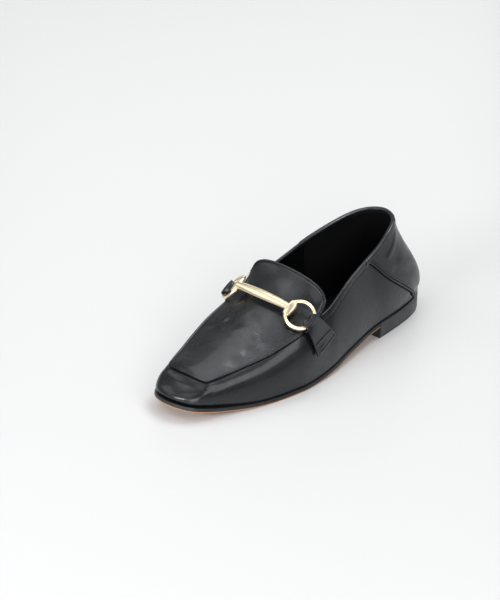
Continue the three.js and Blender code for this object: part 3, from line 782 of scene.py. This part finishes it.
class LoaferColours(bpy.types.PropertyGroup):
    """Colours of the leathers, soles, bit and floor."""

    upper: colour_setting("Upper", "Smooth black upper leather", (0.0065, 0.007, 0.0082))
    lining: colour_setting("Lining", "Lining leather and suede", (0.0012, 0.0012, 0.0014))
    sock: colour_setting("Insole", "Insole leather", (0.004, 0.004, 0.0045))
    sole_edge: colour_setting("Sole edge", "Inked edge of the sole", (0.014, 0.0145, 0.016))
    tread: colour_setting("Tread", "Tan leather under the sole", (0.50, 0.235, 0.11))
    heel: colour_setting("Heel", "Heel block", (0.022, 0.0225, 0.025))
    gold: colour_setting("Bit", "Pale gold of the bit", (0.95, 0.81, 0.57))
    # Also the colour of the painted shadow lines by the heel panel and bindings.
    thread: colour_setting("Thread", "Waxed thread", (0.002, 0.002, 0.0024))
    floor: colour_setting("Floor", "Studio floor", (0.66, 0.662, 0.665))


def in_mm(setting):
    """One of the sizes, in millimetres."""
    return getattr(bpy.context.scene.loafer_sizes, setting) * 1000


_materials = {}


def material(name, make, colour, *values):
    """A material made once, in one of the colours, and shared by like pieces."""
    if name not in _materials:
        colour = tuple(getattr(bpy.context.scene.loafer_colours, colour))
        _materials[name] = make(name, colour, *values)
    return _materials[name]


def upper_leather():
    return material("upper_leather", leather, "upper", 0.33, 1.0, 0.25, 0.42)


def vamp_leather():
    return material("vamp_leather", leather, "upper", 0.37, 0.8, 0.3, 0.33)


def lining_leather():
    return material("lining_leather", leather, "lining", 0.5, 0.6, 0.0, 0.16)


# The same near-black thread material also paints the shadow lines by the heel panel and bindings.
def thread():
    return material("waxed_thread", waxed_thread, "thread")


def heel_panel_lift(points):
    """How far the heel panel stands off the wall: two rounded ridges and a sewn groove."""
    fold = in_mm("heel_fold")
    away = np.minimum(*(distance_to(points, heel_seam_line(side)[0]) for side in (1, -1)))
    return (GAP + fold * ridge(away, 0.7, 0.62) + 0.8 * fold * ridge(away, 2.5, 0.6)
            - 0.25 * ridge(away, 3.6, 0.35))


def make_quarters():
    """The vamp and quarters, from the sole to the apron seam and the topline."""
    place = np.linspace(0, ROUND, 8 * ROUND + 1)[None, :]
    up = np.concatenate([np.linspace(0, 0.9, 40), np.linspace(0.92, 1, 9)])[:, None]
    points, normal = on_wall(place, up)
    from_toe = np.minimum(np.abs(place), np.abs(place - ROUND))
    front = 1 - smooth((from_toe - 1.2) / 4)
    toe = 1 - smooth((from_toe - 2.5) / 4)
    lip = smooth((up - 0.72) / 0.2) * (1 - smooth((up - 0.955) / 0.03))
    lift = front * lip * 0.6 + relief(points, back_folds() + VAMP_FOLDS)
    lift = lift - 0.25 * (1 - smooth(up / 0.02)) - 1.5 * toe * (1 - smooth(up / 0.16))
    sheet_piece("quarters", points + normal * lift[..., None], 1.3, 0.25, vamp_leather(),
                "upper", "upper", round_shoe=True)


def make_heel_panel():
    """The heel panel, laid over the quarters, with a folded edge."""
    up = np.linspace(0.02, 0.99, 72)[:, None]
    seam = heel_seam_place(up)
    place = (OUTER_SIDE + seam) + (INNER_SIDE - OUTER_SIDE - 2 * seam) * eased_shares(120)[None, :]
    points, normal = on_wall(place, up)
    points = points + normal * (heel_panel_lift(points) + relief(points, back_folds()))[..., None]
    sheet_piece("heel_panel", points, 0.75, 0.25, upper_leather(),
                "upper", "heel_seam_outer", "heel_seam_inner")


_sheets = {}


def apron_sheet():
    """The apron's outer face: rows from its front to the tongue, columns from the inner side."""
    if "apron" not in _sheets:
        rows, columns = 150, 96
        inset, front = 0.5 / BALL_WIDTH, 0.5 / SEAM_LENGTH
        share = eased_shares(columns)[None, :]
        across = inset + (1 - 2 * inset) * share
        rounding = (1 - np.abs(2 * share - 1) ** TONGUE_CORNER) ** (1 / TONGUE_CORNER)
        end = 1 + TONGUE_LENGTH / SEAM_LENGTH * rounding
        along = np.linspace(0, 1, rows + 1)
        at = front + (end - front) * along[:, None]
        points = on_crown(at, across, OVERLAY + APRON_THICKNESS)[0]
        eased = (smooth((at - 0.72) / 0.12) * (1 - smooth((at - 1.045) / 0.04)))[1:-1, 1:-1, None]
        for _ in range(90):
            middle = points[1:-1, 1:-1]
            even = (points[:-2, 1:-1] + points[2:, 1:-1]) / 2
            points[1:-1, 1:-1] = middle + 0.5 * eased * (even - middle)
        # Rows crowd at both ends, where the edges are sewn.
        dense = np.concatenate([np.linspace(0, 0.03, 9)[:-1], np.linspace(0.03, 0.95, 120)[:-1],
                                np.linspace(0.95, 1, 30)])
        points = between(dense, along, points)
        away = distance_to(points, tongue_rim(points))
        edge = 0.22 * ridge(away, 0.7, 0.6) - 0.38 * ridge(away, TONGUE_ROW, ROW_SPREAD)
        lift = relief(points, APRON_FOLDS) + edge
        _sheets["apron"] = points + sheet_normals(points) * lift[..., None]
    return _sheets["apron"]


def tongue_rim(sheet):
    """The free edge of the tongue, from its outer side round its end to its inner side."""
    start = int(0.8 * len(sheet))
    free = np.concatenate([sheet[start:, -1], sheet[-1, ::-1][1:], sheet[start:-1, 0][::-1]])
    return free[::2]


def on_apron(row, column):
    """Points on the apron's outer face at shares of its rows and columns, with their normals."""
    sheet = apron_sheet()
    rows, columns = sheet.shape[0] - 1, sheet.shape[1] - 1
    row, column = np.broadcast_arrays(np.multiply(row, rows), np.multiply(column, columns))
    i, j = np.clip(row.astype(int), 0, rows - 1), np.clip(column.astype(int), 0, columns - 1)
    s, t = (row - i)[..., None], (column - j)[..., None]
    a, b, c, d = sheet[i, j], sheet[i, j + 1], sheet[i + 1, j], sheet[i + 1, j + 1]
    point = (a * (1 - t) + b * t) * (1 - s) + (c * (1 - t) + d * t) * s
    return point, unit(np.cross(b - a + d - c, c - a + d - b))


def make_apron():
    """The apron and its tongue, one sheet with a folded edge."""
    sheet_piece("apron", apron_sheet(), APRON_THICKNESS, 0.4, upper_leather(),
                "upper", "apron_tongue", segments=3)


def make_seam_ridge():
    """The raised seam along the apron's sides."""
    row = np.linspace(0.012, 0.9, 150)
    for name, column, width, height in (("seam_ridge_outer", 0.915, 1.4, 1.0),
                                        ("seam_ridge_inner", 0.085, 2.0, 1.5)):
        points, normal = on_apron(row, column)
        piece = swept(name, points - normal * 0.15, normal, oval(width, height))
        finished(piece, upper_leather(), "upper")


def draped(sheet, first, last, surfaces):
    """A sheet drawn taut from row first to row last, without sinking into the surfaces."""
    spots, outs = (np.concatenate([surface[k].reshape(-1, 3) for surface in surfaces])
                   for k in (0, 1))
    lifts = np.concatenate([np.full(points[..., 0].size, lift) for points, _, lift in surfaces])
    for _ in range(160):
        loose = sheet[first:last]
        near, far = (sheet[first - k:last - k] + sheet[first + k:last + k] for k in (1, 2))
        loose = loose + 0.3 * (near / 2 - loose) + 0.06 * (4 * near - far - 6 * loose)
        loose = loose.reshape(-1, 3)
        nearest = ((loose[:, None] - spots[None]) ** 2).sum(-1).argmin(1)
        sunk = lifts[nearest] - ((loose - spots[nearest]) * outs[nearest]).sum(-1)
        loose = loose + outs[nearest] * np.clip(sunk, 0, None)[:, None]
        sheet[first:last] = loose.reshape(sheet[first:last].shape)
    return sheet


def strap_sheet(side):
    """A strap's outer face: sewn to the wall, taut over to its ring, and round the wire."""
    end_front, end_back, leave_front, leave_back = (np.array(p) for p in STRAPS[side])
    share = np.linspace(0, 1, 13)
    end = end_front + (end_back - end_front) * share[:, None]
    leave = leave_front + (leave_back - leave_front) * share[:, None]
    sewn = []
    for along in np.linspace(0, STRAP_SEWN, 8):
        spot = end + (leave - end) * along
        sewn.append(on_wall(spot[:, 0], spot[:, 1], STRAP_LIFT)[0])
    ring = ring_frame(side)
    turn = STRAP_WIDTH / RING_RADIUS * (0.5 - share)
    roll = RING_WIRE + GAP + 0.9
    rolled = []
    for bend in np.linspace(-0.12, 1.4, 15) * math.pi:
        reach = RING_RADIUS - roll * math.sin(bend)
        height = 0 * turn + roll * math.cos(bend)
        points = np.stack([np.sin(turn) * reach, side * np.cos(turn) * reach, height], -1)
        rolled.append(moved(ring, points))
    first, free = len(sewn), 22
    bridge = [sewn[-1] + (rolled[0] - sewn[-1]) * t for t in np.linspace(0, 1, free + 2)[1:-1]]
    sheet = np.array(sewn + bridge + rolled)
    place = np.linspace(6.5, 11, 40) if side > 0 else np.linspace(27.2, 31.5, 40)
    wall = (*on_wall(place[None, :], np.linspace(0.5, 1, 40)[:, None]), STRAP_LIFT)
    row, column = np.linspace(0.4, 0.95, 40)[:, None], np.linspace(0, 0.45, 30)[None, :]
    apron = (*on_apron(row, 1 - column if side > 0 else column), 1.35)
    sheet = draped(sheet, first, first + free, (wall, apron))
    eased = np.zeros((len(sheet), 1, 1))
    eased[first - 2:first + free + 1] = 0.5
    eased = eased[1:-1]
    for _ in range(45):
        sheet[1:-1] += eased * ((sheet[:-2] + sheet[2:]) / 2 - sheet[1:-1])
        inner = sheet[1:-1, 1:-1]
        inner += eased * ((sheet[1:-1, :-2] + sheet[1:-1, 2:]) / 2 - inner)
    rows = np.concatenate([np.linspace(0, first - 1, 56)[:-1],
                           np.linspace(first - 1, len(sheet) - 1, 90)])
    columns = np.linspace(0, len(share) - 1, 73)
    sheet = between(rows, np.arange(len(sheet)), sheet).swapaxes(0, 1)
    sheet = between(columns, np.arange(len(share)), sheet).swapaxes(0, 1)
    for _ in range(6):
        sheet[1:-1] = sheet[1:-1] / 2 + (sheet[:-2] + sheet[2:]) / 4
        sheet[:, 1:-1] = sheet[:, 1:-1] / 2 + (sheet[:, :-2] + sheet[:, 2:]) / 4
    return sheet


def topline(places, down, lift):
    """A line along the topline, so far down the wall, with its normals and the way down."""
    edge, normal = on_wall(places, 1.0)
    drop = unit(wall_at(places, 0.99) - edge)
    return edge + drop * down + normal * lift, normal, drop


def make_bindings():
    """The binding along the topline, rolled over its edge, in front of and round the heel panel."""
    narrow = in_mm("binding")
    wide = narrow * BINDING_ON_QUARTERS
    for name, start, stop, stand, width in (
            ("binding_heel", OUTER_SIDE - 0.3, INNER_SIDE + 0.3, 0.85, narrow),
            ("binding_outer", OUTER_THROAT + 0.1, OUTER_SIDE - 0.15, 0.38, wide),
            ("binding_inner", INNER_SIDE + 0.15, INNER_THROAT - 0.1, 0.38, wide)):
        edge, normal, drop = topline(np.linspace(start, stop, int((stop - start) * 18)), 0.0, 0.0)
        half = (1.5 + 2 * stand) / 2
        inside = stand - 2 * half
        profile = np.array([
            (stand - 0.2, width), (stand, width - 0.25), (stand - 0.03, width * 0.55), (stand, 0.3),
            *((stand - half + half * math.cos(t), -0.5 * half * math.sin(t))
              for t in np.linspace(0.2, np.pi - 0.2, 9)),
            (inside, 0.3), (inside, width), (-1.2, width), (-0.4, 0.8), (-0.1, width)])
        rings = edge[:, None] + normal[:, None] * profile[:, :1] + drop[:, None] * profile[:, 1:]
        piece = closed_tube(name, rings)
        softened(piece, 60)
        finished(piece, upper_leather(), "upper")


def make_lining():
    """The lining inside the quarters, the heel grip, and the vamp lining under the apron."""
    nap = material("heel_grip", suede, "lining")
    up = np.linspace(0.0, 0.985, 26)[:, None]
    for name, start, stop, finish, depth in (
            ("lining_front", INNER_SIDE - ROUND, OUTER_SIDE, lining_leather(), 1.45),
            ("heel_grip", OUTER_SIDE - 0.05, INNER_SIDE + 0.05, nap, 1.6)):
        place = np.linspace(start, stop, int((stop - start) * 5) + 1)[None, :]
        sheet_piece(name, on_wall(place, up, -depth)[0], 0.5, 0.15, finish, "lining", "upper")
    across = np.linspace(0.005, 0.995, 33)[None, :]
    reach = 1 - (THROAT_CUT / SEAM_LENGTH) * 4 * across * (1 - across)
    points = on_crown(np.linspace(0, 1, 41)[:, None] * reach, across, -0.05)[0]
    sheet_piece("vamp_lining", points, 1.3, 0.2, lining_leather(), "lining", "upper")


def sole_layer(name, inset, low, thickness, bevel, finish, slot, node):
    """A layer of the sole that follows the tread."""
    along = np.linspace(0, 1, 97)
    outer, inner = outline(BACK * along, inset)[0], outline(ROUND - BACK * along, inset)[0]
    points = inner[:, None] + (outer - inner)[:, None] * eased_shares(24)[:, None]
    points[..., 2] = sole_bottom(points[..., 0]) + low
    piece = slab(name, points[::-1], thickness, bevel)
    softened(piece, 50)
    finished(piece, finish, slot, node)


def make_soles():
    """The tan tread, the inked sole edge and the welt line over it, and the insole."""
    edge = material("sole_edge", inked_edge, "sole_edge", 0.45)
    tan = material("tread_leather", tread_leather, "tread")
    sock = material("insole_leather", leather, "sock", 0.5, 0.8, 0.0, 0.16)
    sole_layer("tread", 0.3, 0.0, 1.0, 0.3, tan, "sole", "outsole")
    sole_layer("sole_edge", 0.0, 0.8, 1.5, SLAB_BEVEL, edge, "sole", "outsole")
    sole_layer("welt", 0.15, 2.36, 0.84, SLAB_BEVEL, edge, "sole", "outsole")
    sole_layer("insole_sock", 4.0, SOLE_THICKNESS + 0.4, 1.9, 0.5, sock, "lining", "insole")


def make_heel():
    """The heel block, which slopes up to the back under the sole, and its top lift."""
    block = material("heel_block", inked_edge, "heel", 0.42)
    sides = []
    for toe in (0, ROUND):
        places = np.linspace(BACK, toe, 2000)
        breast = np.interp(HEEL_BREAST, outline(places)[0][:, 0], places)
        sides.append(breast + (BACK - breast) * np.linspace(0, 1, 61))
    for name, low, high, inset in (("top_lift", 0.0, 2.3, 0.35), ("heel_block", 2.3, 12.35, -0.15)):
        outer, inner = (outline(places, inset)[0][:, None] for places in sides)
        points = inner + (outer - inner) * eased_shares(28)[:, None]
        points[..., 2] = low
        piece = slab(name, points, high - low, 0.35, angle=60)
        for corner in piece.data.vertices:
            if corner.co.z * 1000 > HEEL_HEIGHT - 1:
                from_back = corner.co.x * 1000 - SHIFT[0]
                corner.co.z += BLOCK_SLOPE / 1000 * float(smooth(1 - from_back / BLOCK_RISE))
        softened(piece, 50)
        finished(piece, block, "heel", "heel")


def make_straps():
    """The straps that hold the rings, each sewn down in a rectangle at its lower end."""
    for side, name in ((1, "strap_outer"), (-1, "strap_inner")):
        sheet = strap_sheet(side)
        if side > 0:
            sheet = sheet[:, ::-1]
        low, high = np.searchsorted(run_length(sheet[:, sheet.shape[1] // 2]), STRAP_ROWS)
        left, right = STRAP_MARGIN, sheet.shape[1] - 1 - STRAP_MARGIN
        corners = np.array([(low, left), (low, right), (high, right), (high, left), (low, left)])
        i, j = np.rint(between(np.linspace(0, 4, 161), np.arange(5), corners)).astype(int).T
        line = sheet[i, j]
        normal = sheet_normals(sheet)
        sunk = 0.5 * ridge(distance_to(sheet, line), 0, ROW_SPREAD)
        sunk[high + 8:] = 0
        sheet_piece(name + "_leather", sheet - normal * sunk[..., None], STRAP_THICKNESS, 0.3,
                    upper_leather(), "upper", name)
        out = normal[i, j]
        row = stitches("stitching_" + name, line - out * 0.52, out, 1.9, 1.3, 0.34)
        finished(row, thread(), "upper")


def make_bit():
    """The bar with its two plates, and the two rings."""
    gold = material("bit_gold", gilt, "gold")
    share = np.linspace(-1, 1, 61)[:, None]
    width = BAR_WIDTH - BAR_TAPER * share ** 2
    turn = np.linspace(0, np.pi, 17)
    arc = np.stack([np.cos(turn), np.sin(turn)], -1)
    back = np.stack([np.linspace(-0.85, 0.85, 6), np.full(6, -0.35)], -1)
    wide, high = np.concatenate([arc, back]).T
    rings = np.stack(np.broadcast_arrays(
        wide * width / 2, share * (BAR_LENGTH / 2 + BAR_OVER),
        high * BAR_DEPTH - 0.5 - BAR_SAG * share ** 2), -1)
    piece = closed_tube("bit_bar", moved(bit_frame(), rings))
    softened(piece, 50)
    finished(piece, gold, "gold", "bit")
    share = np.linspace(-1, 1, 25)[:, None]
    swell = (0.7 + 0.34 * (1 - share ** 2)) * PLATE_WIDE
    depth = 1.05 * (1 - 0.25 * share ** 2) * PLATE_HIGH
    turn = np.linspace(0, 2 * np.pi, 28, endpoint=False)
    wide, high = (np.sign(wave) * np.abs(wave) ** power
                  for wave, power in ((np.cos(turn), 0.6), (np.sin(turn), 0.8)))
    for side, name in ((1, "outer"), (-1, "inner")):
        ring = ring_frame(side)
        rings = np.stack(np.broadcast_arrays(
            share * PLATE_LONG, wide * swell + side * (PLATE_CENTRE - RING_RADIUS),
            high * depth + 0.2), -1)
        piece = closed_tube("bit_plate_" + name, moved(ring, rings))
        bevelled(piece, 0.4, 3)
        softened(piece, 50)
        finished(piece, gold, "gold", "bit")
        clear_selection()
        bpy.ops.mesh.primitive_torus_add(
            major_segments=72, minor_segments=16,
            major_radius=RING_RADIUS / 1000, minor_radius=RING_SHOWN / 1000)
        hoop = added("bit_ring_" + name)
        laid(hoop, moved(ring, np.array([corner.co for corner in hoop.data.vertices]) * 1000))
        softened(hoop)
        finished(hoop, gold, "gold", "ring_" + name)


def make_stitching():
    """Rows of stitches: tongue, bindings and heel seams."""
    sheet = apron_sheet()
    normals = sheet_normals(sheet).reshape(-1, 3)
    sheet_points = sheet.reshape(-1, 3)
    rim = tongue_rim(sheet)

    def nearest(line):
        return ((sheet_points[None] - line[:, None]) ** 2).sum(-1).argmin(1)

    inward = unit(np.cross(normals[nearest(rim)], unit(np.gradient(rim, axis=0))))
    line = rim + inward * TONGUE_ROW
    at = nearest(line)
    line = sheet_points[at] * 0.5 + line * 0.5
    for _ in range(3):
        line[1:-1] = line[1:-1] / 2 + (line[:-2] + line[2:]) / 4
    rows = [("stitching_tongue", line, normals[at])]
    narrow = in_mm("binding") - BINDING_ROW
    wide = in_mm("binding") * BINDING_ON_QUARTERS - BINDING_ROW
    for name, start, stop, lift, down in (
            ("stitching_quarter_outer", OUTER_THROAT + 0.15, OUTER_SIDE - 0.3, 0.33, wide),
            ("stitching_quarter_inner", INNER_SIDE + 0.3, INNER_THROAT - 0.15, 0.33, wide),
            ("stitching_collar", OUTER_SIDE - 0.1, INNER_SIDE + 0.1, 0.8, narrow)):
        rows.append((name, *topline(np.linspace(start, stop, 160), down, lift)[:2]))
    for side, name in ((1, "stitching_heel_outer"), (-1, "stitching_heel_inner")):
        line, normal = heel_seam_line(side, 0.05, 0.95, 120, HEEL_ROW)
        rows.append((name, line + normal * 0.6, normal))
    pitch = in_mm("stitch")
    for name, path, out in rows:
        finished(stitches(name, path, out, pitch, pitch * 0.72, in_mm("thread")), thread(), "upper")


def make_painted_shadow_lines():
    """Painted shadow: near-black ribbons beside the heel panel's edge, in its sewn groove and under
    the bindings.
    """
    lines = []
    for side, name in ((1, "heel_line_outer"), (-1, "heel_line_inner")):
        # Painted shadow on the quarter, under the heel panel's raised edge.
        line, normal = heel_seam_line(side, 0.06, 0.94, 140, 0.5)
        lines.append((name, line + normal * 0.12, normal, 0.95))
        # Painted shade in the sewn groove behind the panel's edge.
        line, normal = heel_seam_line(side, 0.06, 0.93, 140, HEEL_ROW)
        lines.append((name + "_groove", line + normal * 0.56, normal, 0.6))
    # Painted shadow on the quarter, under the binding's lower edge.
    down = in_mm("binding") * BINDING_ON_QUARTERS + 0.2
    for name, start, stop in (("binding_line_outer", OUTER_THROAT + 0.3, OUTER_SIDE - 0.3),
                              ("binding_line_inner", INNER_SIDE + 0.3, INNER_THROAT - 0.3)):
        line, normal, _ = topline(np.linspace(start, stop, 160), down, 0.02)
        lines.append((name, line, normal, 0.6))
    # The ribbons take the near-black thread material, which paints the shade.
    for name, path, out, thick in lines:
        finished(swept(name, path, out, oval(thick, 0.25)), thread(), "upper")


def make_lights():
    """The world's pale light, and the studio's soft windows and fills."""
    world = bpy.data.worlds.new("studio")
    world.use_nodes = True
    background = world.node_tree.nodes["Background"]
    background.inputs["Color"].default_value = (0.985, 0.99, 1.0, 1)
    background.inputs["Strength"].default_value = 0.22
    bpy.context.scene.world = world
    for name, place, width, height, brightness in LIGHTS:
        light = bpy.data.lights.new(name, "AREA")
        light.shape = "RECTANGLE"
        light.size, light.size_y = width, height
        light.energy = brightness * math.pi * width * height
        lamp = bpy.data.objects.new(name, light)
        lamp.location = place
        aim = Vector((0, 0, 0.03)) - Vector(place)
        lamp.rotation_euler = aim.to_track_quat("-Z", "Y").to_euler()
        bpy.context.scene.collection.objects.link(lamp)


def make_camera():
    """The camera at the photograph's angle."""
    camera = bpy.data.cameras.new("camera")
    camera.sensor_width = 36
    camera.lens = FOCAL_PIXELS * camera.sensor_width / PICTURE_HEIGHT
    camera.clip_end = 50
    holder = bpy.data.objects.new("camera", camera)
    turn, tilt, roll = (math.radians(angle) for angle in CAMERA_ANGLES)
    level = math.cos(tilt)
    back = Vector((math.sin(turn) * level, -math.cos(turn) * level, math.sin(tilt)))
    right = Vector((math.cos(turn), math.sin(turn), 0))
    up = back.cross(right)
    right, up = (right * math.cos(roll) + up * math.sin(roll),
                 up * math.cos(roll) - right * math.sin(roll))
    place = Vector(framed(CAMERA_TARGET).tolist()) + back * CAMERA_AWAY
    facing = Matrix((right, up, back)).transposed().to_4x4()
    holder.matrix_world = Matrix.Translation(place) @ facing
    bpy.context.scene.collection.objects.link(holder)
    bpy.context.scene.camera = holder


def make_stage():
    """The floor, the soft lights and the camera."""
    clear_selection()
    bpy.ops.mesh.primitive_plane_add(size=16)
    floor = added("floor")
    floor.data.materials.append(material("studio_floor", paper, "floor"))
    make_lights()
    make_camera()
    bpy.context.scene.view_settings.view_transform = "Standard"


class LOAFER_OT_upper(bpy.types.Operator):
    """Make the quarters, the heel panel and the lining"""

    bl_idname = "loafer.upper"
    bl_label = "Upper"
    bl_options = {"REGISTER", "UNDO"}

    def execute(self, context):
        make_quarters()
        make_heel_panel()
        make_lining()
        return {"FINISHED"}


class LOAFER_OT_apron(bpy.types.Operator):
    """Make the apron with its tongue, and its raised seam"""

    bl_idname = "loafer.apron"
    bl_label = "Apron"
    bl_options = {"REGISTER", "UNDO"}

    def execute(self, context):
        make_apron()
        make_seam_ridge()
        return {"FINISHED"}


class LOAFER_OT_bindings(bpy.types.Operator):
    """Make the binding along the topline"""

    bl_idname = "loafer.bindings"
    bl_label = "Bindings"
    bl_options = {"REGISTER", "UNDO"}

    def execute(self, context):
        make_bindings()
        return {"FINISHED"}


class LOAFER_OT_soles(bpy.types.Operator):
    """Make the tread, the sole edge, the welt and the insole"""

    bl_idname = "loafer.soles"
    bl_label = "Soles"
    bl_options = {"REGISTER", "UNDO"}

    def execute(self, context):
        make_soles()
        return {"FINISHED"}


class LOAFER_OT_heel(bpy.types.Operator):
    """Make the heel block and its top lift"""

    bl_idname = "loafer.heel"
    bl_label = "Heel"
    bl_options = {"REGISTER", "UNDO"}

    def execute(self, context):
        make_heel()
        return {"FINISHED"}


class LOAFER_OT_straps(bpy.types.Operator):
    """Make the two straps that hold the rings"""

    bl_idname = "loafer.straps"
    bl_label = "Straps"
    bl_options = {"REGISTER", "UNDO"}

    def execute(self, context):
        make_straps()
        return {"FINISHED"}


class LOAFER_OT_bit(bpy.types.Operator):
    """Make the bar, its plates and the two rings"""

    bl_idname = "loafer.bit"
    bl_label = "Bit"
    bl_options = {"REGISTER", "UNDO"}

    def execute(self, context):
        make_bit()
        return {"FINISHED"}


class LOAFER_OT_stitching(bpy.types.Operator):
    """Make the rows of stitches and the painted shadow lines"""

    bl_idname = "loafer.stitching"
    bl_label = "Stitching"
    bl_options = {"REGISTER", "UNDO"}

    def execute(self, context):
        make_stitching()
        make_painted_shadow_lines()
        return {"FINISHED"}


class LOAFER_OT_stage(bpy.types.Operator):
    """Make the floor, the lights and the camera"""

    bl_idname = "loafer.stage"
    bl_label = "Stage"
    bl_options = {"REGISTER", "UNDO"}

    def execute(self, context):
        make_stage()
        return {"FINISHED"}


OPERATORS = [
    LOAFER_OT_upper,
    LOAFER_OT_apron,
    LOAFER_OT_bindings,
    LOAFER_OT_soles,
    LOAFER_OT_heel,
    LOAFER_OT_straps,
    LOAFER_OT_bit,
    LOAFER_OT_stitching,
    LOAFER_OT_stage,
]


class LOAFER_PT_panel(bpy.types.Panel):
    """The loafer's pieces, sizes and colours."""

    bl_idname = "LOAFER_PT_panel"
    bl_label = "Bit loafer"
    bl_space_type = "VIEW_3D"
    bl_region_type = "UI"
    bl_category = "Loafer"

    def draw(self, context):
        column = self.layout.column()
        for made in OPERATORS:
            column.operator(made.bl_idname)
        for group in (context.scene.loafer_sizes, context.scene.loafer_colours):
            box = self.layout.box()
            for key in group.bl_rna.properties.keys():
                if key not in ("rna_type", "name"):
                    box.prop(group, key)


CLASSES = [LoaferSizes, LoaferColours, *OPERATORS, LOAFER_PT_panel]


def register():
    for made in CLASSES:
        bpy.utils.register_class(made)
    bpy.types.Scene.loafer_sizes = PointerProperty(type=LoaferSizes)
    bpy.types.Scene.loafer_colours = PointerProperty(type=LoaferColours)


def unregister():
    del bpy.types.Scene.loafer_colours
    del bpy.types.Scene.loafer_sizes
    for made in reversed(CLASSES):
        bpy.utils.unregister_class(made)


def main():
    register()
    for made in OPERATORS:
        getattr(bpy.ops.loafer, made.bl_idname.split(".")[1])()


if __name__ == "__main__":
    main()
